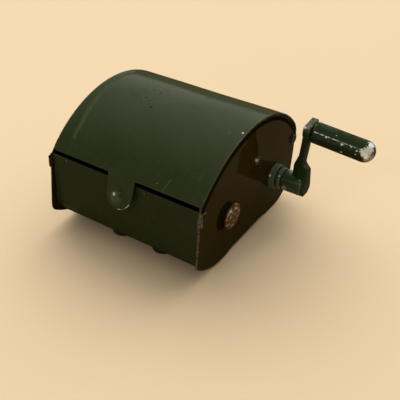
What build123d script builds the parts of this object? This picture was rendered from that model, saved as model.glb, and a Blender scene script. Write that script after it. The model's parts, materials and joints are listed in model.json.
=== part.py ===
from build123d import *
from math import atan2, cos, degrees, hypot, radians, sin, sqrt, tan
import os

# A hand-cranked desk pencil sharpener in sheet steel.
# Frame: +X towards the crank, +Y towards the hinge at the back, +Z up, in millimetres.
# Origin: midway between the four feet, on the surface that they stand on.

# -------------------- driving dimensions

sheet = 0.8  # every sheet-steel stamping
play = 0.05  # radial running clearance

# case, across: the lid covers the right end plate, and the left one stands a little outside it
lid_half = 39.0
right_out = 38.4
right_in = right_out - sheet
left_out = 41.0
left_in = left_out - sheet
wrap_gap = 0.1

# case, front to back and upwards
front = -45.0
back = 44.6
panel_top = 38.6
back_top = 30.5
bottom = 2.8
front_bend = 13.0
back_bend = 11.0

# lid: a long arc, then a tight one that ends upright at the hinge
arc_y, arc_z, arc_r = -2.1, 2.4, 59.0
rear_r = 14.0
lid_front = -46.2
lid_notch_z = 38.8
hinge_y = 41.6
rod_r = 1.75
knuckle_r = 2.6
knuckle_half = 37.2

# main shaft and the tie bolt lie at one height
shaft_y, shaft_z = 23.2, 21.6
shaft_r = 3.0
shaft_end_r = 2.3
tie_y, tie_z = -18.4, 22.0
tie_r = 2.5

# rivet through the ear of the gear cup
rivet_y, rivet_z, rivet_r = 2.7, 40.4, 1.3

# planetary head: pencil point, half angle of the cone, cutters and gears
point_x = 22.5
cone = 10.5
cutter_r = 5.8
cutter_out = 5.9
cutter_front, cutter_back = -25.5, -1.0
pinion_front, pinion_back = 1.9, 5.1
axle_r = 1.2
ring_teeth, pinion_teeth = 27, 12
ring_root_r, ring_tip_r, ring_out_r = 10.4, 9.2, 12.0
pinion_root_r, pinion_tip_r = 3.4, 4.5
ring_x0, ring_x1 = 24.7, 27.1
cage_x0, cage_x1 = -7.4, 31.3
cage_r, cage_back_r = 15.0, 8.3

# pencil hole
guide_r, pencil_r = 5.9, 4.2
guide_x0, guide_x1 = -43.0, -4.4

# bearing of the shaft in the right end plate
bush_r, bush_neck_r = 6.2, 4.5
bush_x0, bush_x1 = 34.3, 41.6

# crank: the arm stands straight up at rest
hub_r = 5.25
hub_x0, hub_x1 = 44.3, 54.6
arm_length = 29.7
handle_x = 54.6
handle_droop = 3.8
handle_r = 5.0
handle_length = 28.8

# feet, each snapped into a hole in the bottom
foot_x, foot_y = 11.5, 32.0
foot_r = 5.0
screw_r = 2.0

os.makedirs("parts", exist_ok=True)


def at_x(x):
    """The plane across the object at x: its own x runs along +Y and its y along +Z."""
    return Plane.YZ.offset(x)


# -------------------- worked-out geometry

# The rear arc touches the long arc and the upright line over the hinge.
rear_face = hinge_y + knuckle_r
rear_y = rear_face - rear_r
rear_z = arc_z + sqrt((arc_r - rear_r) ** 2 - (rear_y - arc_y) ** 2)
join_angle = degrees(atan2(rear_z - arc_z, rear_y - arc_y))
hinge_z = rear_z


def long_arc(radius, y_end):
    """Start angle, in degrees, of the long arc at this radius where it reaches y_end."""
    height = sqrt(radius**2 - (y_end - arc_y) ** 2)
    return degrees(atan2(height, y_end - arc_y))


# -------------------- end plates

plate_low = 0.4
foot_relief = 1.5
ear_r = 4.2
plate_back = 44.8
plate_corner = 15.0
right_cover, right_lean = 1.3, 1.0
left_cover, left_lean = 2.6, 2.4
notch_depth = 1.0
front_tab_low, front_tab_high = 31.4, 38.2
back_tab_low, back_tab_high = 18.0, 25.0


def plate_outline(cover, lean):
    """Outline of an end plate: cover is how far its top runs inside the lid's outer face, lean how
    far its front edge comes forward on the way down."""
    top_r = arc_r - cover
    back_r = rear_r - cover
    ear_start = degrees(atan2(-sqrt(ear_r**2 - (plate_back - hinge_y) ** 2), plate_back - hinge_y))
    ear_end = 72.0
    top_start = 22.0
    nose = (front - lean, 9.4)
    front_foot, front_foot_back = -25.0, -20.0
    back_foot, back_foot_back = 20.0, plate_back - plate_corner
    top_front = (front, arc_z + sqrt(top_r**2 - (front - arc_y) ** 2))
    ear = CenterArc((hinge_y, hinge_z), ear_r, ear_start, ear_end - ear_start)
    over = CenterArc((rear_y, rear_z), back_r, top_start, join_angle - top_start)
    top = CenterArc(
        (arc_y, arc_z), top_r, join_angle, long_arc(top_r, front) - join_angle
    )
    corner = CenterArc(
        (plate_back - plate_corner, plate_low + plate_corner), plate_corner, -90, 90
    )
    Line(top_front, nose)
    ThreePointArc(nose, (-36.6, 3.3), (front_foot, plate_low))
    Polyline(
        (front_foot, plate_low),
        (front_foot_back, plate_low),
        (front_foot_back + 5, foot_relief),
        (back_foot - 5, foot_relief),
        (back_foot, plate_low),
        (back_foot_back, plate_low),
    )
    Line(corner @ 1, ear @ 0)
    Line(ear @ 1, over @ 0)
    Line(top @ 1, top_front)


def tab_slots():
    """Slots in the front and rear edges, which the wrap's tabs pass through."""
    slack = 0.15
    back_depth = plate_back - back + sheet + slack
    with Locations((front, (front_tab_low + front_tab_high) / 2)):
        Rectangle(2 * notch_depth, front_tab_high - front_tab_low + 2 * slack, mode=Mode.SUBTRACT)
    with Locations((plate_back, (back_tab_low + back_tab_high) / 2)):
        Rectangle(2 * back_depth, back_tab_high - back_tab_low + 2 * slack, mode=Mode.SUBTRACT)


with BuildPart() as right_end_plate:
    with BuildSketch(at_x(right_in)):
        with BuildLine():
            plate_outline(right_cover, right_lean)
        make_face()
        with Locations((shaft_y, shaft_z)):
            Circle(bush_neck_r + play, mode=Mode.SUBTRACT)
        with Locations((tie_y, tie_z)):
            Circle(tie_r + 0.1, mode=Mode.SUBTRACT)
        with Locations((rivet_y, rivet_z)):
            Circle(rivet_r + play, mode=Mode.SUBTRACT)
        with Locations((hinge_y, hinge_z)):
            Circle(rod_r + play, mode=Mode.SUBTRACT)
        tab_slots()
    extrude(amount=sheet)
right_end_plate.part.label = "right_end_plate"
export_step(right_end_plate.part, "parts/right_end_plate.step")

with BuildPart() as left_end_plate:
    with BuildSketch(at_x(-left_out)):
        with BuildLine():
            plate_outline(left_cover, left_lean)
        make_face()
        with Locations((shaft_y, shaft_z)):
            Circle(guide_r + play, mode=Mode.SUBTRACT)
        with Locations((tie_y, tie_z)):
            Circle(tie_r + 0.1, mode=Mode.SUBTRACT)
        with Locations((hinge_y, hinge_z)):
            Circle(rod_r + play, mode=Mode.SUBTRACT)
        tab_slots()
    extrude(amount=sheet)
left_end_plate.part.label = "left_end_plate"
export_step(left_end_plate.part, "parts/left_end_plate.step")

# -------------------- wrap: front, bottom and back in one sheet

sheet_hole_r = 3.2
flap = 3.0
flap_gap = 0.1
left_flap_gap = 0.5


def wrap_outline(inset, above):
    """Outline of the wrap's outside, or of its inside when inset is one sheet."""
    floor = bottom + inset
    y0, y1 = front + inset, back - inset
    bend0, bend1 = front_bend - inset, back_bend - inset
    CenterArc((y0 + bend0, floor + bend0), bend0, 180, 90)
    CenterArc((y1 - bend1, floor + bend1), bend1, 270, 90)
    Line((y0 + bend0, floor), (y1 - bend1, floor))
    Polyline(
        (y0, floor + bend0),
        (y0, panel_top + above),
        (y1, back_top + above),
        (y1, floor + bend1),
    )


wrap_left, wrap_right = -left_in + wrap_gap, right_in - wrap_gap
with BuildPart() as body_wrap:
    with BuildSketch(at_x(wrap_left)):
        with BuildLine():
            wrap_outline(0, 0)
        make_face()
        with BuildLine():
            wrap_outline(sheet, 5)
        make_face(mode=Mode.SUBTRACT)
    extrude(amount=wrap_right - wrap_left)
    # the back stops lower than the front panel
    with BuildSketch(at_x(wrap_left)):
        with Locations((back - sheet / 2, back_top + 5)):
            Rectangle(6, 10)
    extrude(amount=wrap_right - wrap_left, mode=Mode.SUBTRACT)
    # screw holes, which the feet snap into
    with BuildSketch(Plane.XY.offset(bottom)):
        with GridLocations(2 * foot_x, 2 * foot_y, 2, 2):
            Circle(sheet_hole_r)
    extrude(amount=2 * sheet, mode=Mode.SUBTRACT)
    # tabs through the end plates: the front ones fold flat over the plate's outer face, the rear
    # ones end just proud of it
    for edge_x, fold_x in (
        (wrap_right, right_out + flap_gap),
        (wrap_left, -left_out - left_flap_gap),
    ):
        way = 1 if edge_x > 0 else -1
        with BuildSketch(at_x(edge_x)):
            with Locations((front + sheet / 2, (front_tab_low + front_tab_high) / 2)):
                Rectangle(sheet, front_tab_high - front_tab_low)
            with Locations((back - sheet / 2, (back_tab_low + back_tab_high) / 2)):
                Rectangle(sheet, back_tab_high - back_tab_low)
        extrude(amount=fold_x - edge_x)
        with BuildSketch(at_x(fold_x)):
            with Locations((front + flap / 2, (front_tab_low + front_tab_high) / 2)):
                Rectangle(flap, front_tab_high - front_tab_low)
        extrude(amount=way * sheet)
body_wrap.part.label = "body_wrap"
export_step(body_wrap.part, "parts/body_wrap.step")

# -------------------- lid

tab_x, tab_top_half, tab_low_half = -0.5, 7.1, 6.5
tab_length = 14.8
tab_lean = 18.0
dome_x, dome_down = -0.7, 9.2
dome_r, dome_height = 3.4, 1.0

with BuildPart() as lid:
    with BuildSketch(at_x(-lid_half)):
        with BuildLine():
            outer = CenterArc(
                (arc_y, arc_z), arc_r, join_angle, long_arc(arc_r, lid_front) - join_angle
            )
            inner = CenterArc(
                (arc_y, arc_z),
                arc_r - sheet,
                join_angle,
                long_arc(arc_r, lid_front) - join_angle,
            )
            outer_rear = CenterArc((rear_y, rear_z), rear_r, 0, join_angle)
            inner_rear = CenterArc((rear_y, rear_z), rear_r - sheet, 0, join_angle)
            Line(outer @ 1, inner @ 1)
            Line(outer_rear @ 0, inner_rear @ 0)
        make_face()
    extrude(amount=2 * lid_half)
    # knuckle: the sheet's end curled round the hinge rod
    with BuildSketch(at_x(-knuckle_half)):
        with Locations((hinge_y, hinge_z)):
            Circle(knuckle_r)
            Circle(rod_r + play, mode=Mode.SUBTRACT)
        with BuildLine():
            Polyline(
                (hinge_y, hinge_z),
                (hinge_y + 2 * knuckle_r, hinge_z),
                (hinge_y + 2 * knuckle_r, hinge_z + 2 * knuckle_r),
                (hinge_y + knuckle_r, hinge_z + 2 * knuckle_r),
                (hinge_y, hinge_z),
            )
        make_face(mode=Mode.SUBTRACT)
    extrude(amount=2 * knuckle_half)
    # beside the knuckle the sheet is cut away, so that it clears the end plates' ears
    for side in (-1, 1):
        middle = side * (knuckle_half + lid_half) / 2
        with BuildSketch(Plane.XY.offset(hinge_z - 5)):
            with Locations((middle, hinge_y)):
                Rectangle(lid_half - knuckle_half + 0.001, 12)
        extrude(amount=lid_notch_z - hinge_z + 5, mode=Mode.SUBTRACT)
    # finger tab: hangs from the middle of the front edge, leaning outwards
    edge_angle = radians(long_arc(arc_r, lid_front))
    tab_plane = Plane(
        origin=(tab_x, lid_front + 0.25, arc_z + arc_r * sin(edge_angle) + 0.1),
        x_dir=(1, 0, 0),
        z_dir=(0, -cos(radians(tab_lean)), sin(radians(tab_lean))),
    )
    with BuildSketch(tab_plane):
        with BuildLine():
            Polyline(
                (-tab_low_half, -tab_length + tab_low_half),
                (-tab_top_half, 0),
                (tab_top_half, 0),
                (tab_low_half, -tab_length + tab_low_half),
            )
            CenterArc((0, -tab_length + tab_low_half), tab_low_half, 180, 180)
        make_face()
    extrude(amount=-sheet)
    # dome pressed outwards on the tab
    dome_sphere = (dome_r**2 + dome_height**2) / (2 * dome_height)
    dome_angle = degrees(atan2(dome_r, dome_sphere - dome_height))
    dome_origin = tab_plane.from_local_coords((dome_x, -dome_down, 0))
    with BuildSketch(Plane(origin=dome_origin, x_dir=(1, 0, 0), z_dir=-tab_plane.y_dir)):
        with BuildLine():
            cap = CenterArc((0, dome_height - dome_sphere), dome_sphere, 90, -dome_angle)
            Polyline(cap @ 1, (dome_r, -sheet / 2), (0, -sheet / 2), cap @ 0)
        make_face()
    revolve(axis=Axis(dome_origin, tab_plane.z_dir))
lid.part.label = "lid"
export_step(lid.part, "parts/lid.step")

# -------------------- hinge rod, tie bolt and rivet

rod_head_r, rod_head = 2.5, 1.1
with BuildPart() as hinge_rod:
    with BuildSketch(at_x(-left_out)):
        with Locations((hinge_y, hinge_z)):
            Circle(rod_r)
    extrude(amount=left_out + right_out)
    for x in (right_out, -left_out - rod_head):
        with BuildSketch(at_x(x)):
            with Locations((hinge_y, hinge_z)):
                Circle(rod_head_r)
        extrude(amount=rod_head)
    ends = hinge_rod.edges().filter_by(GeomType.CIRCLE).sort_by(Axis.X)
    fillet([ends[0], ends[-1]], 0.9 * rod_head)
hinge_rod.part.label = "hinge_rod"
export_step(hinge_rod.part, "parts/hinge_rod.step")

tie_head_r, tie_rim, tie_dome = 6.2, 1.2, 0.9
tie_tip = -44.8
with BuildPart() as tie_bolt:
    with BuildSketch(Plane.XY.offset(tie_z)):
        with BuildLine():
            Polyline(
                (tie_tip + 0.5, tie_y + tie_r),
                (tie_tip, tie_y + tie_r - 0.5),
                (tie_tip, tie_y),
                (right_out + tie_rim + tie_dome, tie_y),
            )
            Polyline(
                (right_out + tie_rim, tie_y + tie_head_r),
                (right_out, tie_y + tie_head_r),
                (right_out, tie_y + tie_r),
                (tie_tip + 0.5, tie_y + tie_r),
            )
            ThreePointArc(
                (right_out + tie_rim + tie_dome, tie_y),
                (right_out + tie_rim + 0.76 * tie_dome, tie_y + tie_head_r / 2),
                (right_out + tie_rim, tie_y + tie_head_r),
            )
        make_face()
    revolve(axis=Axis((0, tie_y, tie_z), (1, 0, 0)))
tie_bolt.part.label = "tie_bolt"
export_step(tie_bolt.part, "parts/tie_bolt.step")

spacer_r = 4.0
with BuildPart() as tie_spacer:
    with BuildSketch(at_x(-left_in)):
        with Locations((tie_y, tie_z)):
            Circle(spacer_r)
            Circle(tie_r + 0.1, mode=Mode.SUBTRACT)
    extrude(amount=left_in + right_in)
tie_spacer.part.label = "tie_spacer"
export_step(tie_spacer.part, "parts/tie_spacer.step")

washer = 0.7
with BuildPart() as tie_washer:
    with BuildSketch(at_x(-left_out - washer)):
        with Locations((tie_y, tie_z)):
            Circle(5.5)
            Circle(tie_r + 0.1, mode=Mode.SUBTRACT)
    extrude(amount=washer)
tie_washer.part.label = "tie_washer"
export_step(tie_washer.part, "parts/tie_washer.step")

tie_nut_flats, tie_nut_height = 8.0, 2.4
with BuildPart() as tie_nut:
    with BuildSketch(at_x(-left_out - washer - tie_nut_height)):
        with Locations((tie_y, tie_z)):
            RegularPolygon(tie_nut_flats / 2, 6, major_radius=False)
            Circle(tie_r, mode=Mode.SUBTRACT)
    extrude(amount=tie_nut_height)
tie_nut.part.label = "tie_nut"
export_step(tie_nut.part, "parts/tie_nut.step")

rivet_head_r, rivet_head = 2.1, 0.9
with BuildPart() as gear_rivet:
    with BuildSketch(at_x(right_in - sheet)):
        with Locations((rivet_y, rivet_z)):
            Circle(rivet_r)
    extrude(amount=2 * sheet)
    for x in (right_out, right_in - sheet - rivet_head):
        with BuildSketch(at_x(x)):
            with Locations((rivet_y, rivet_z)):
                Circle(rivet_head_r)
        extrude(amount=rivet_head)
    ends = gear_rivet.edges().filter_by(GeomType.CIRCLE).sort_by(Axis.X)
    fillet([ends[0], ends[-1]], 0.9 * rivet_head)
gear_rivet.part.label = "gear_rivet"
export_step(gear_rivet.part, "parts/gear_rivet.step")

# -------------------- shaft bearing

with BuildPart() as bearing_bush:
    with BuildSketch(at_x(right_out)):
        with Locations((shaft_y, shaft_z)):
            Circle(bush_r)
    extrude(amount=bush_x1 - right_out)
    with BuildSketch(at_x(bush_x0)):
        with Locations((shaft_y, shaft_z)):
            Circle(bush_neck_r)
    extrude(amount=right_out - bush_x0)
    with BuildSketch(at_x(bush_x0)):
        with Locations((shaft_y, shaft_z)):
            Circle(shaft_r + play)
    extrude(amount=bush_x1 - bush_x0, mode=Mode.SUBTRACT)
    mouth = bearing_bush.edges().filter_by(GeomType.CIRCLE).sort_by(Axis.X)[-2:]
    chamfer(mouth.sort_by(SortBy.RADIUS)[-1], 0.4)
bearing_bush.part.label = "bearing_bush"
export_step(bearing_bush.part, "parts/bearing_bush.step")

cup_flange_x = right_in - sheet
with BuildPart() as bush_nut:
    with BuildSketch(at_x(bush_x0)):
        with Locations((shaft_y, shaft_z)):
            RegularPolygon(7.0, 6, major_radius=False)
            Circle(bush_neck_r, mode=Mode.SUBTRACT)
    extrude(amount=cup_flange_x - bush_x0)
bush_nut.part.label = "bush_nut"
export_step(bush_nut.part, "parts/bush_nut.step")

# -------------------- fixed ring gear, cup and ear

cup_wall = 1.0
ring_tooth_root, ring_tooth_tip = 1.15, 0.5
with BuildPart() as ring_gear:
    # flange, with an ear out to the rivet
    with BuildSketch(at_x(cup_flange_x)):
        ear_y, ear_z = rivet_y - shaft_y, rivet_z - shaft_z
        ear_length = hypot(ear_y, ear_z)
        with Locations((shaft_y, shaft_z)):
            Circle(ring_out_r)
        with Locations(((shaft_y + rivet_y) / 2, (shaft_z + rivet_z) / 2)):
            Rectangle(ear_length, 7, rotation=degrees(atan2(ear_z, ear_y)))
        with Locations((rivet_y, rivet_z)):
            Circle(3.5)
            Circle(rivet_r + play, mode=Mode.SUBTRACT)
        with Locations((shaft_y, shaft_z)):
            Circle(bush_neck_r + play, mode=Mode.SUBTRACT)
    extrude(amount=sheet)
    # wall of the cup
    with BuildSketch(at_x(ring_x1)):
        with Locations((shaft_y, shaft_z)):
            Circle(ring_out_r)
            Circle(ring_out_r - cup_wall, mode=Mode.SUBTRACT)
    extrude(amount=cup_flange_x - ring_x1)
    # internal teeth
    with BuildSketch(at_x(ring_x0)):
        with Locations((shaft_y, shaft_z)):
            Circle(ring_out_r)
            Circle(ring_root_r, mode=Mode.SUBTRACT)
            with PolarLocations(0, ring_teeth, start_angle=90 + 180 / ring_teeth):
                Polygon(
                    (ring_root_r + 0.3, -ring_tooth_root / 2),
                    (ring_root_r + 0.3, ring_tooth_root / 2),
                    (ring_tip_r, ring_tooth_tip / 2),
                    (ring_tip_r, -ring_tooth_tip / 2),
                    align=None,
                )
    extrude(amount=ring_x1 - ring_x0)
ring_gear.part.label = "ring_gear"
export_step(ring_gear.part, "parts/ring_gear.step")

# -------------------- the two cutters and their axles


def cutter_axis(side):
    """Axis of a cutter: side 1 above the shaft, -1 below; its origin lies abreast of the pencil's point."""
    lean = radians(cone)
    return Plane(
        origin=(point_x, shaft_y, shaft_z + side * cutter_out),
        x_dir=(sin(lean), 0, side * cos(lean)),
        z_dir=(cos(lean), 0, -side * sin(lean)),
    )


flutes = 14
helix_twist = 100.0
helix_steps = 6
flute_depth = 0.8
neck_r = 3.0
pinion_tooth_root, pinion_tooth_tip = 0.95, 0.4


def flute_points(turn):
    """Saw-toothed section of a cutter, turned by this many degrees about its axis."""
    pitch = 360 / flutes
    corners = []
    for i in range(flutes):
        crest = radians(turn + i * pitch)
        valley = radians(turn + (i + 0.25) * pitch)
        corners.append((cutter_r * cos(crest), cutter_r * sin(crest)))
        corners.append(((cutter_r - flute_depth) * cos(valley), (cutter_r - flute_depth) * sin(valley)))
    return corners


with BuildPart() as cutter_upper:
    axis = cutter_axis(1)
    for step in range(helix_steps + 1):
        along = cutter_front + (cutter_back - cutter_front) * step / helix_steps
        with BuildSketch(axis.offset(along)):
            Polygon(*flute_points(helix_twist * step / helix_steps), align=None)
    loft(ruled=True)
    with BuildSketch(axis.offset(cutter_back)):
        Circle(neck_r)
    extrude(amount=pinion_front - cutter_back)
    with BuildSketch(axis.offset(pinion_front)):
        Circle(pinion_root_r)
        with PolarLocations(0, pinion_teeth):
            Polygon(
                (pinion_root_r - 0.3, -pinion_tooth_root / 2),
                (pinion_tip_r, -pinion_tooth_tip / 2),
                (pinion_tip_r, pinion_tooth_tip / 2),
                (pinion_root_r - 0.3, pinion_tooth_root / 2),
                align=None,
            )
    extrude(amount=pinion_back - pinion_front)
    with BuildSketch(axis.offset(cutter_front)):
        Circle(axle_r + play)
    extrude(amount=pinion_back - cutter_front, mode=Mode.SUBTRACT)
cutter_upper.part.label = "cutter_upper"
export_step(cutter_upper.part, "parts/cutter_upper.step")

with BuildPart() as cutter_lower:
    axis = cutter_axis(-1)
    for step in range(helix_steps + 1):
        along = cutter_front + (cutter_back - cutter_front) * step / helix_steps
        with BuildSketch(axis.offset(along)):
            Polygon(*flute_points(helix_twist * step / helix_steps), align=None)
    loft(ruled=True)
    with BuildSketch(axis.offset(cutter_back)):
        Circle(neck_r)
    extrude(amount=pinion_front - cutter_back)
    with BuildSketch(axis.offset(pinion_front)):
        Circle(pinion_root_r)
        # half a pitch round, because 27 teeth put a ring tooth opposite a ring gap
        with PolarLocations(0, pinion_teeth, start_angle=180 / pinion_teeth):
            Polygon(
                (pinion_root_r - 0.3, -pinion_tooth_root / 2),
                (pinion_tip_r, -pinion_tooth_tip / 2),
                (pinion_tip_r, pinion_tooth_tip / 2),
                (pinion_root_r - 0.3, pinion_tooth_root / 2),
                align=None,
            )
    extrude(amount=pinion_back - pinion_front)
    with BuildSketch(axis.offset(cutter_front)):
        Circle(axle_r + play)
    extrude(amount=pinion_back - cutter_front, mode=Mode.SUBTRACT)
cutter_lower.part.label = "cutter_lower"
export_step(cutter_lower.part, "parts/cutter_lower.step")

axle_front = (cage_x0 - point_x) / cos(radians(cone)) - 0.3
axle_back = (cage_x1 - point_x) / cos(radians(cone)) + 0.3
with BuildPart() as axle_upper:
    with BuildSketch(cutter_axis(1).offset(axle_front)):
        Circle(axle_r)
    extrude(amount=axle_back - axle_front)
axle_upper.part.label = "axle_upper"
export_step(axle_upper.part, "parts/axle_upper.step")

with BuildPart() as axle_lower:
    with BuildSketch(cutter_axis(-1).offset(axle_front)):
        Circle(axle_r)
    extrude(amount=axle_back - axle_front)
axle_lower.part.label = "axle_lower"
export_step(axle_lower.part, "parts/axle_lower.step")

# -------------------- carrier: front ring, two side bars, rear wall and hub

front_ring = 3.3
rear_wall_x = 28.8
cage_hub_r, cage_hub_x1 = 5.2, 33.0
bar_half = 4.5
bar_in = 6.3
bar_back_x = 23.5
with BuildPart() as cutter_carrier:
    with BuildSketch(Plane.XY.offset(shaft_z)):
        with BuildLine():
            Polyline(
                (cage_x0, shaft_y),
                (cage_x0, shaft_y + cage_r),
                (cage_x0 + front_ring, shaft_y + cage_r),
                (cage_x0 + front_ring, shaft_y + cage_r - 2),
                (bar_back_x, shaft_y + cage_back_r),
                (cage_x1, shaft_y + cage_back_r),
                (cage_x1, shaft_y + cage_hub_r),
                (cage_hub_x1, shaft_y + cage_hub_r),
                (cage_hub_x1, shaft_y),
                close=True,
            )
        make_face()
    revolve(axis=Axis((0, shaft_y, shaft_z), (1, 0, 0)))
    # room for the cutters: only the two side bars are left between ring and wall
    with BuildSketch(at_x(cage_x0 + front_ring)):
        with Locations((shaft_y, shaft_z)):
            Rectangle(2 * bar_in, 40)
        with Locations((shaft_y, shaft_z + bar_half + 10), (shaft_y, shaft_z - bar_half - 10)):
            Rectangle(40, 20)
    extrude(amount=rear_wall_x - cage_x0 - front_ring, mode=Mode.SUBTRACT)
    # the ring turns on the pencil guide
    with BuildSketch(at_x(cage_x0)):
        with Locations((shaft_y, shaft_z)):
            Circle(guide_r + play)
    extrude(amount=front_ring, mode=Mode.SUBTRACT)
    # the hub holds the drive shaft
    with BuildSketch(at_x(rear_wall_x)):
        with Locations((shaft_y, shaft_z)):
            Circle(shaft_r)
    extrude(amount=cage_hub_x1 - rear_wall_x, mode=Mode.SUBTRACT)
    for side in (-1, 1):
        with BuildSketch(cutter_axis(side).offset(axle_front - 1)):
            Circle(axle_r)
        extrude(amount=axle_back - axle_front + 2, mode=Mode.SUBTRACT)
cutter_carrier.part.label = "cutter_carrier"
export_step(cutter_carrier.part, "parts/cutter_carrier.step")

# -------------------- drive shaft, washer and collar

shaft_step_x = 44.0
shaft_tip_x = 53.7
cross_x, cross_r, cross_out = 46.7, 1.0, 0.4
cross_tilt = 14.0
cross_plane = Plane(
    origin=(cross_x, shaft_y, shaft_z),
    x_dir=(1, 0, 0),
    z_dir=(0, cos(radians(cross_tilt)), sin(radians(cross_tilt))),
)
with BuildPart() as drive_shaft:
    with BuildSketch(at_x(rear_wall_x)):
        with Locations((shaft_y, shaft_z)):
            Circle(shaft_r)
    extrude(amount=shaft_step_x - rear_wall_x)
    with BuildSketch(at_x(shaft_step_x)):
        with Locations((shaft_y, shaft_z)):
            Circle(shaft_end_r)
    extrude(amount=shaft_tip_x - shaft_step_x)
    with BuildSketch(cross_plane.offset(-6)):
        Circle(cross_r)
    extrude(amount=12, mode=Mode.SUBTRACT)
drive_shaft.part.label = "drive_shaft"
export_step(drive_shaft.part, "parts/drive_shaft.step")

with BuildPart() as thrust_washer:
    with BuildSketch(at_x(cage_hub_x1)):
        with Locations((shaft_y, shaft_z)):
            Circle(4.8)
            Circle(shaft_r, mode=Mode.SUBTRACT)
    extrude(amount=bush_x0 - cage_hub_x1 - 0.3)
thrust_washer.part.label = "thrust_washer"
export_step(thrust_washer.part, "parts/thrust_washer.step")

collar_x0, collar_x1, collar_r = 42.0, 44.0, 5.5
with BuildPart() as crank_collar:
    with BuildSketch(at_x(collar_x0)):
        with Locations((shaft_y, shaft_z)):
            Circle(collar_r)
            Circle(shaft_r, mode=Mode.SUBTRACT)
    extrude(amount=collar_x1 - collar_x0)
    rim = crank_collar.edges().filter_by(GeomType.CIRCLE).sort_by(SortBy.RADIUS)[-2:]
    chamfer(rim, 0.4)
crank_collar.part.label = "crank_collar"
export_step(crank_collar.part, "parts/crank_collar.step")

# -------------------- pencil guide in the left end plate

guide_flange_r = 8.5
with BuildPart() as pencil_guide:
    with BuildSketch(at_x(guide_x0)):
        with Locations((shaft_y, shaft_z)):
            Circle(guide_flange_r)
    extrude(amount=-left_out - guide_x0)
    fillet(pencil_guide.edges().filter_by(GeomType.CIRCLE).sort_by(Axis.X)[0], 1.2)
    with BuildSketch(at_x(-left_out)):
        with Locations((shaft_y, shaft_z)):
            Circle(guide_r)
    extrude(amount=guide_x1 + left_out)
    with BuildSketch(at_x(guide_x0)):
        with Locations((shaft_y, shaft_z)):
            Circle(pencil_r)
    extrude(amount=guide_x1 - guide_x0, mode=Mode.SUBTRACT)
pencil_guide.part.label = "pencil_guide"
export_step(pencil_guide.part, "parts/pencil_guide.step")

with BuildPart() as guide_nut:
    with BuildSketch(at_x(-left_in)):
        with Locations((shaft_y, shaft_z)):
            RegularPolygon(8.5, 6, major_radius=False)
            Circle(guide_r, mode=Mode.SUBTRACT)
    extrude(amount=3.0)
guide_nut.part.label = "guide_nut"
export_step(guide_nut.part, "parts/guide_nut.step")

# -------------------- crank

eye_x0, eye_x1 = 51.7, 55.1
eye_half, eye_up, eye_side_low, eye_down = 5.0, 4.2, 0.6, 5.4
eye_slope = 1.0
lug_x0, lug_x1 = 51.0, 56.2
lug_half, lug_down, lug_cut = 4.6, 4.6, 2.1
lug_top, lug_slope = 12.2, 2.8
arm_half = 2.3
arm_x0, arm_x1 = 51.2, 54.6
root_x0, root_x1 = 48.8, 53.4
root_top = 11.3
flare_x, flare_top = 50.6, 16.4
bore_end = 2.3
handle_axis = Plane(
    origin=(handle_x, shaft_y, shaft_z + arm_length),
    x_dir=(0, 1, 0),
    z_dir=(cos(radians(handle_droop)), 0, -sin(radians(handle_droop))),
)
with BuildPart() as crank_arm:
    # hub
    with BuildSketch(at_x(hub_x0)):
        with Locations((shaft_y, shaft_z)):
            Circle(hub_r)
    extrude(amount=hub_x1 - hub_x0)
    # lug: widest at the shaft, with cut corners below, narrowing upwards to the arm
    with BuildSketch(at_x(lug_x0)):
        with BuildLine():
            Polyline(
                (shaft_y - lug_half + lug_cut, shaft_z - lug_down),
                (shaft_y + lug_half - lug_cut, shaft_z - lug_down),
                (shaft_y + lug_half, shaft_z - lug_down + lug_cut),
                (shaft_y + lug_half, shaft_z),
                (shaft_y + arm_half, shaft_z + lug_top - lug_slope),
                (shaft_y + arm_half, shaft_z + lug_top),
                (shaft_y - arm_half, shaft_z + lug_top),
                (shaft_y - arm_half, shaft_z + lug_top - lug_slope),
                (shaft_y - lug_half, shaft_z),
                (shaft_y - lug_half, shaft_z - lug_down + lug_cut),
                close=True,
            )
        make_face()
    extrude(amount=lug_x1 - lug_x0)
    chamfer(crank_arm.faces().sort_by(Axis.X)[-1].edges().sort_by(Axis.Z)[-1], lug_slope)
    # arm: a bar that leans a little and flares towards the hub at its root
    with BuildSketch(Plane.XZ.offset(-shaft_y)):
        with BuildLine():
            Polyline(
                (root_x0, shaft_z),
                (root_x0, shaft_z + root_top),
                (flare_x, shaft_z + flare_top),
                (arm_x0, shaft_z + arm_length),
                (arm_x1, shaft_z + arm_length),
                (root_x1, shaft_z + root_top),
                (root_x1, shaft_z),
                close=True,
            )
        make_face()
    extrude(amount=arm_half, both=True)
    # eye for the handle's pin: its top falls a little to the front, its sides run in to the arm
    with BuildSketch(at_x(eye_x0)):
        with BuildLine():
            Polyline(
                (shaft_y - arm_half, shaft_z + arm_length - eye_down),
                (shaft_y + arm_half, shaft_z + arm_length - eye_down),
                (shaft_y + eye_half, shaft_z + arm_length - eye_side_low),
                (shaft_y + eye_half, shaft_z + arm_length + eye_up),
                (shaft_y - eye_half, shaft_z + arm_length + eye_up - eye_slope),
                (shaft_y - eye_half, shaft_z + arm_length - eye_side_low),
                close=True,
            )
        make_face()
    extrude(amount=eye_x1 - eye_x0)
    # blind bore for the shaft and, a little inclined, a bore for the handle's pin
    with BuildSketch(at_x(hub_x0)):
        with Locations((shaft_y, shaft_z)):
            Circle(shaft_end_r)
    extrude(amount=lug_x1 - bore_end - hub_x0, mode=Mode.SUBTRACT)
    pin_r = 1.6
    with BuildSketch(handle_axis.offset(-5)):
        Circle(pin_r)
    extrude(amount=10, mode=Mode.SUBTRACT)
    # cross hole through the hub and on through the shaft
    with BuildSketch(cross_plane.offset(-6)):
        Circle(cross_r)
    extrude(amount=12, mode=Mode.SUBTRACT)
crank_arm.part.label = "crank_arm"
export_step(crank_arm.part, "parts/crank_arm.step")

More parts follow.
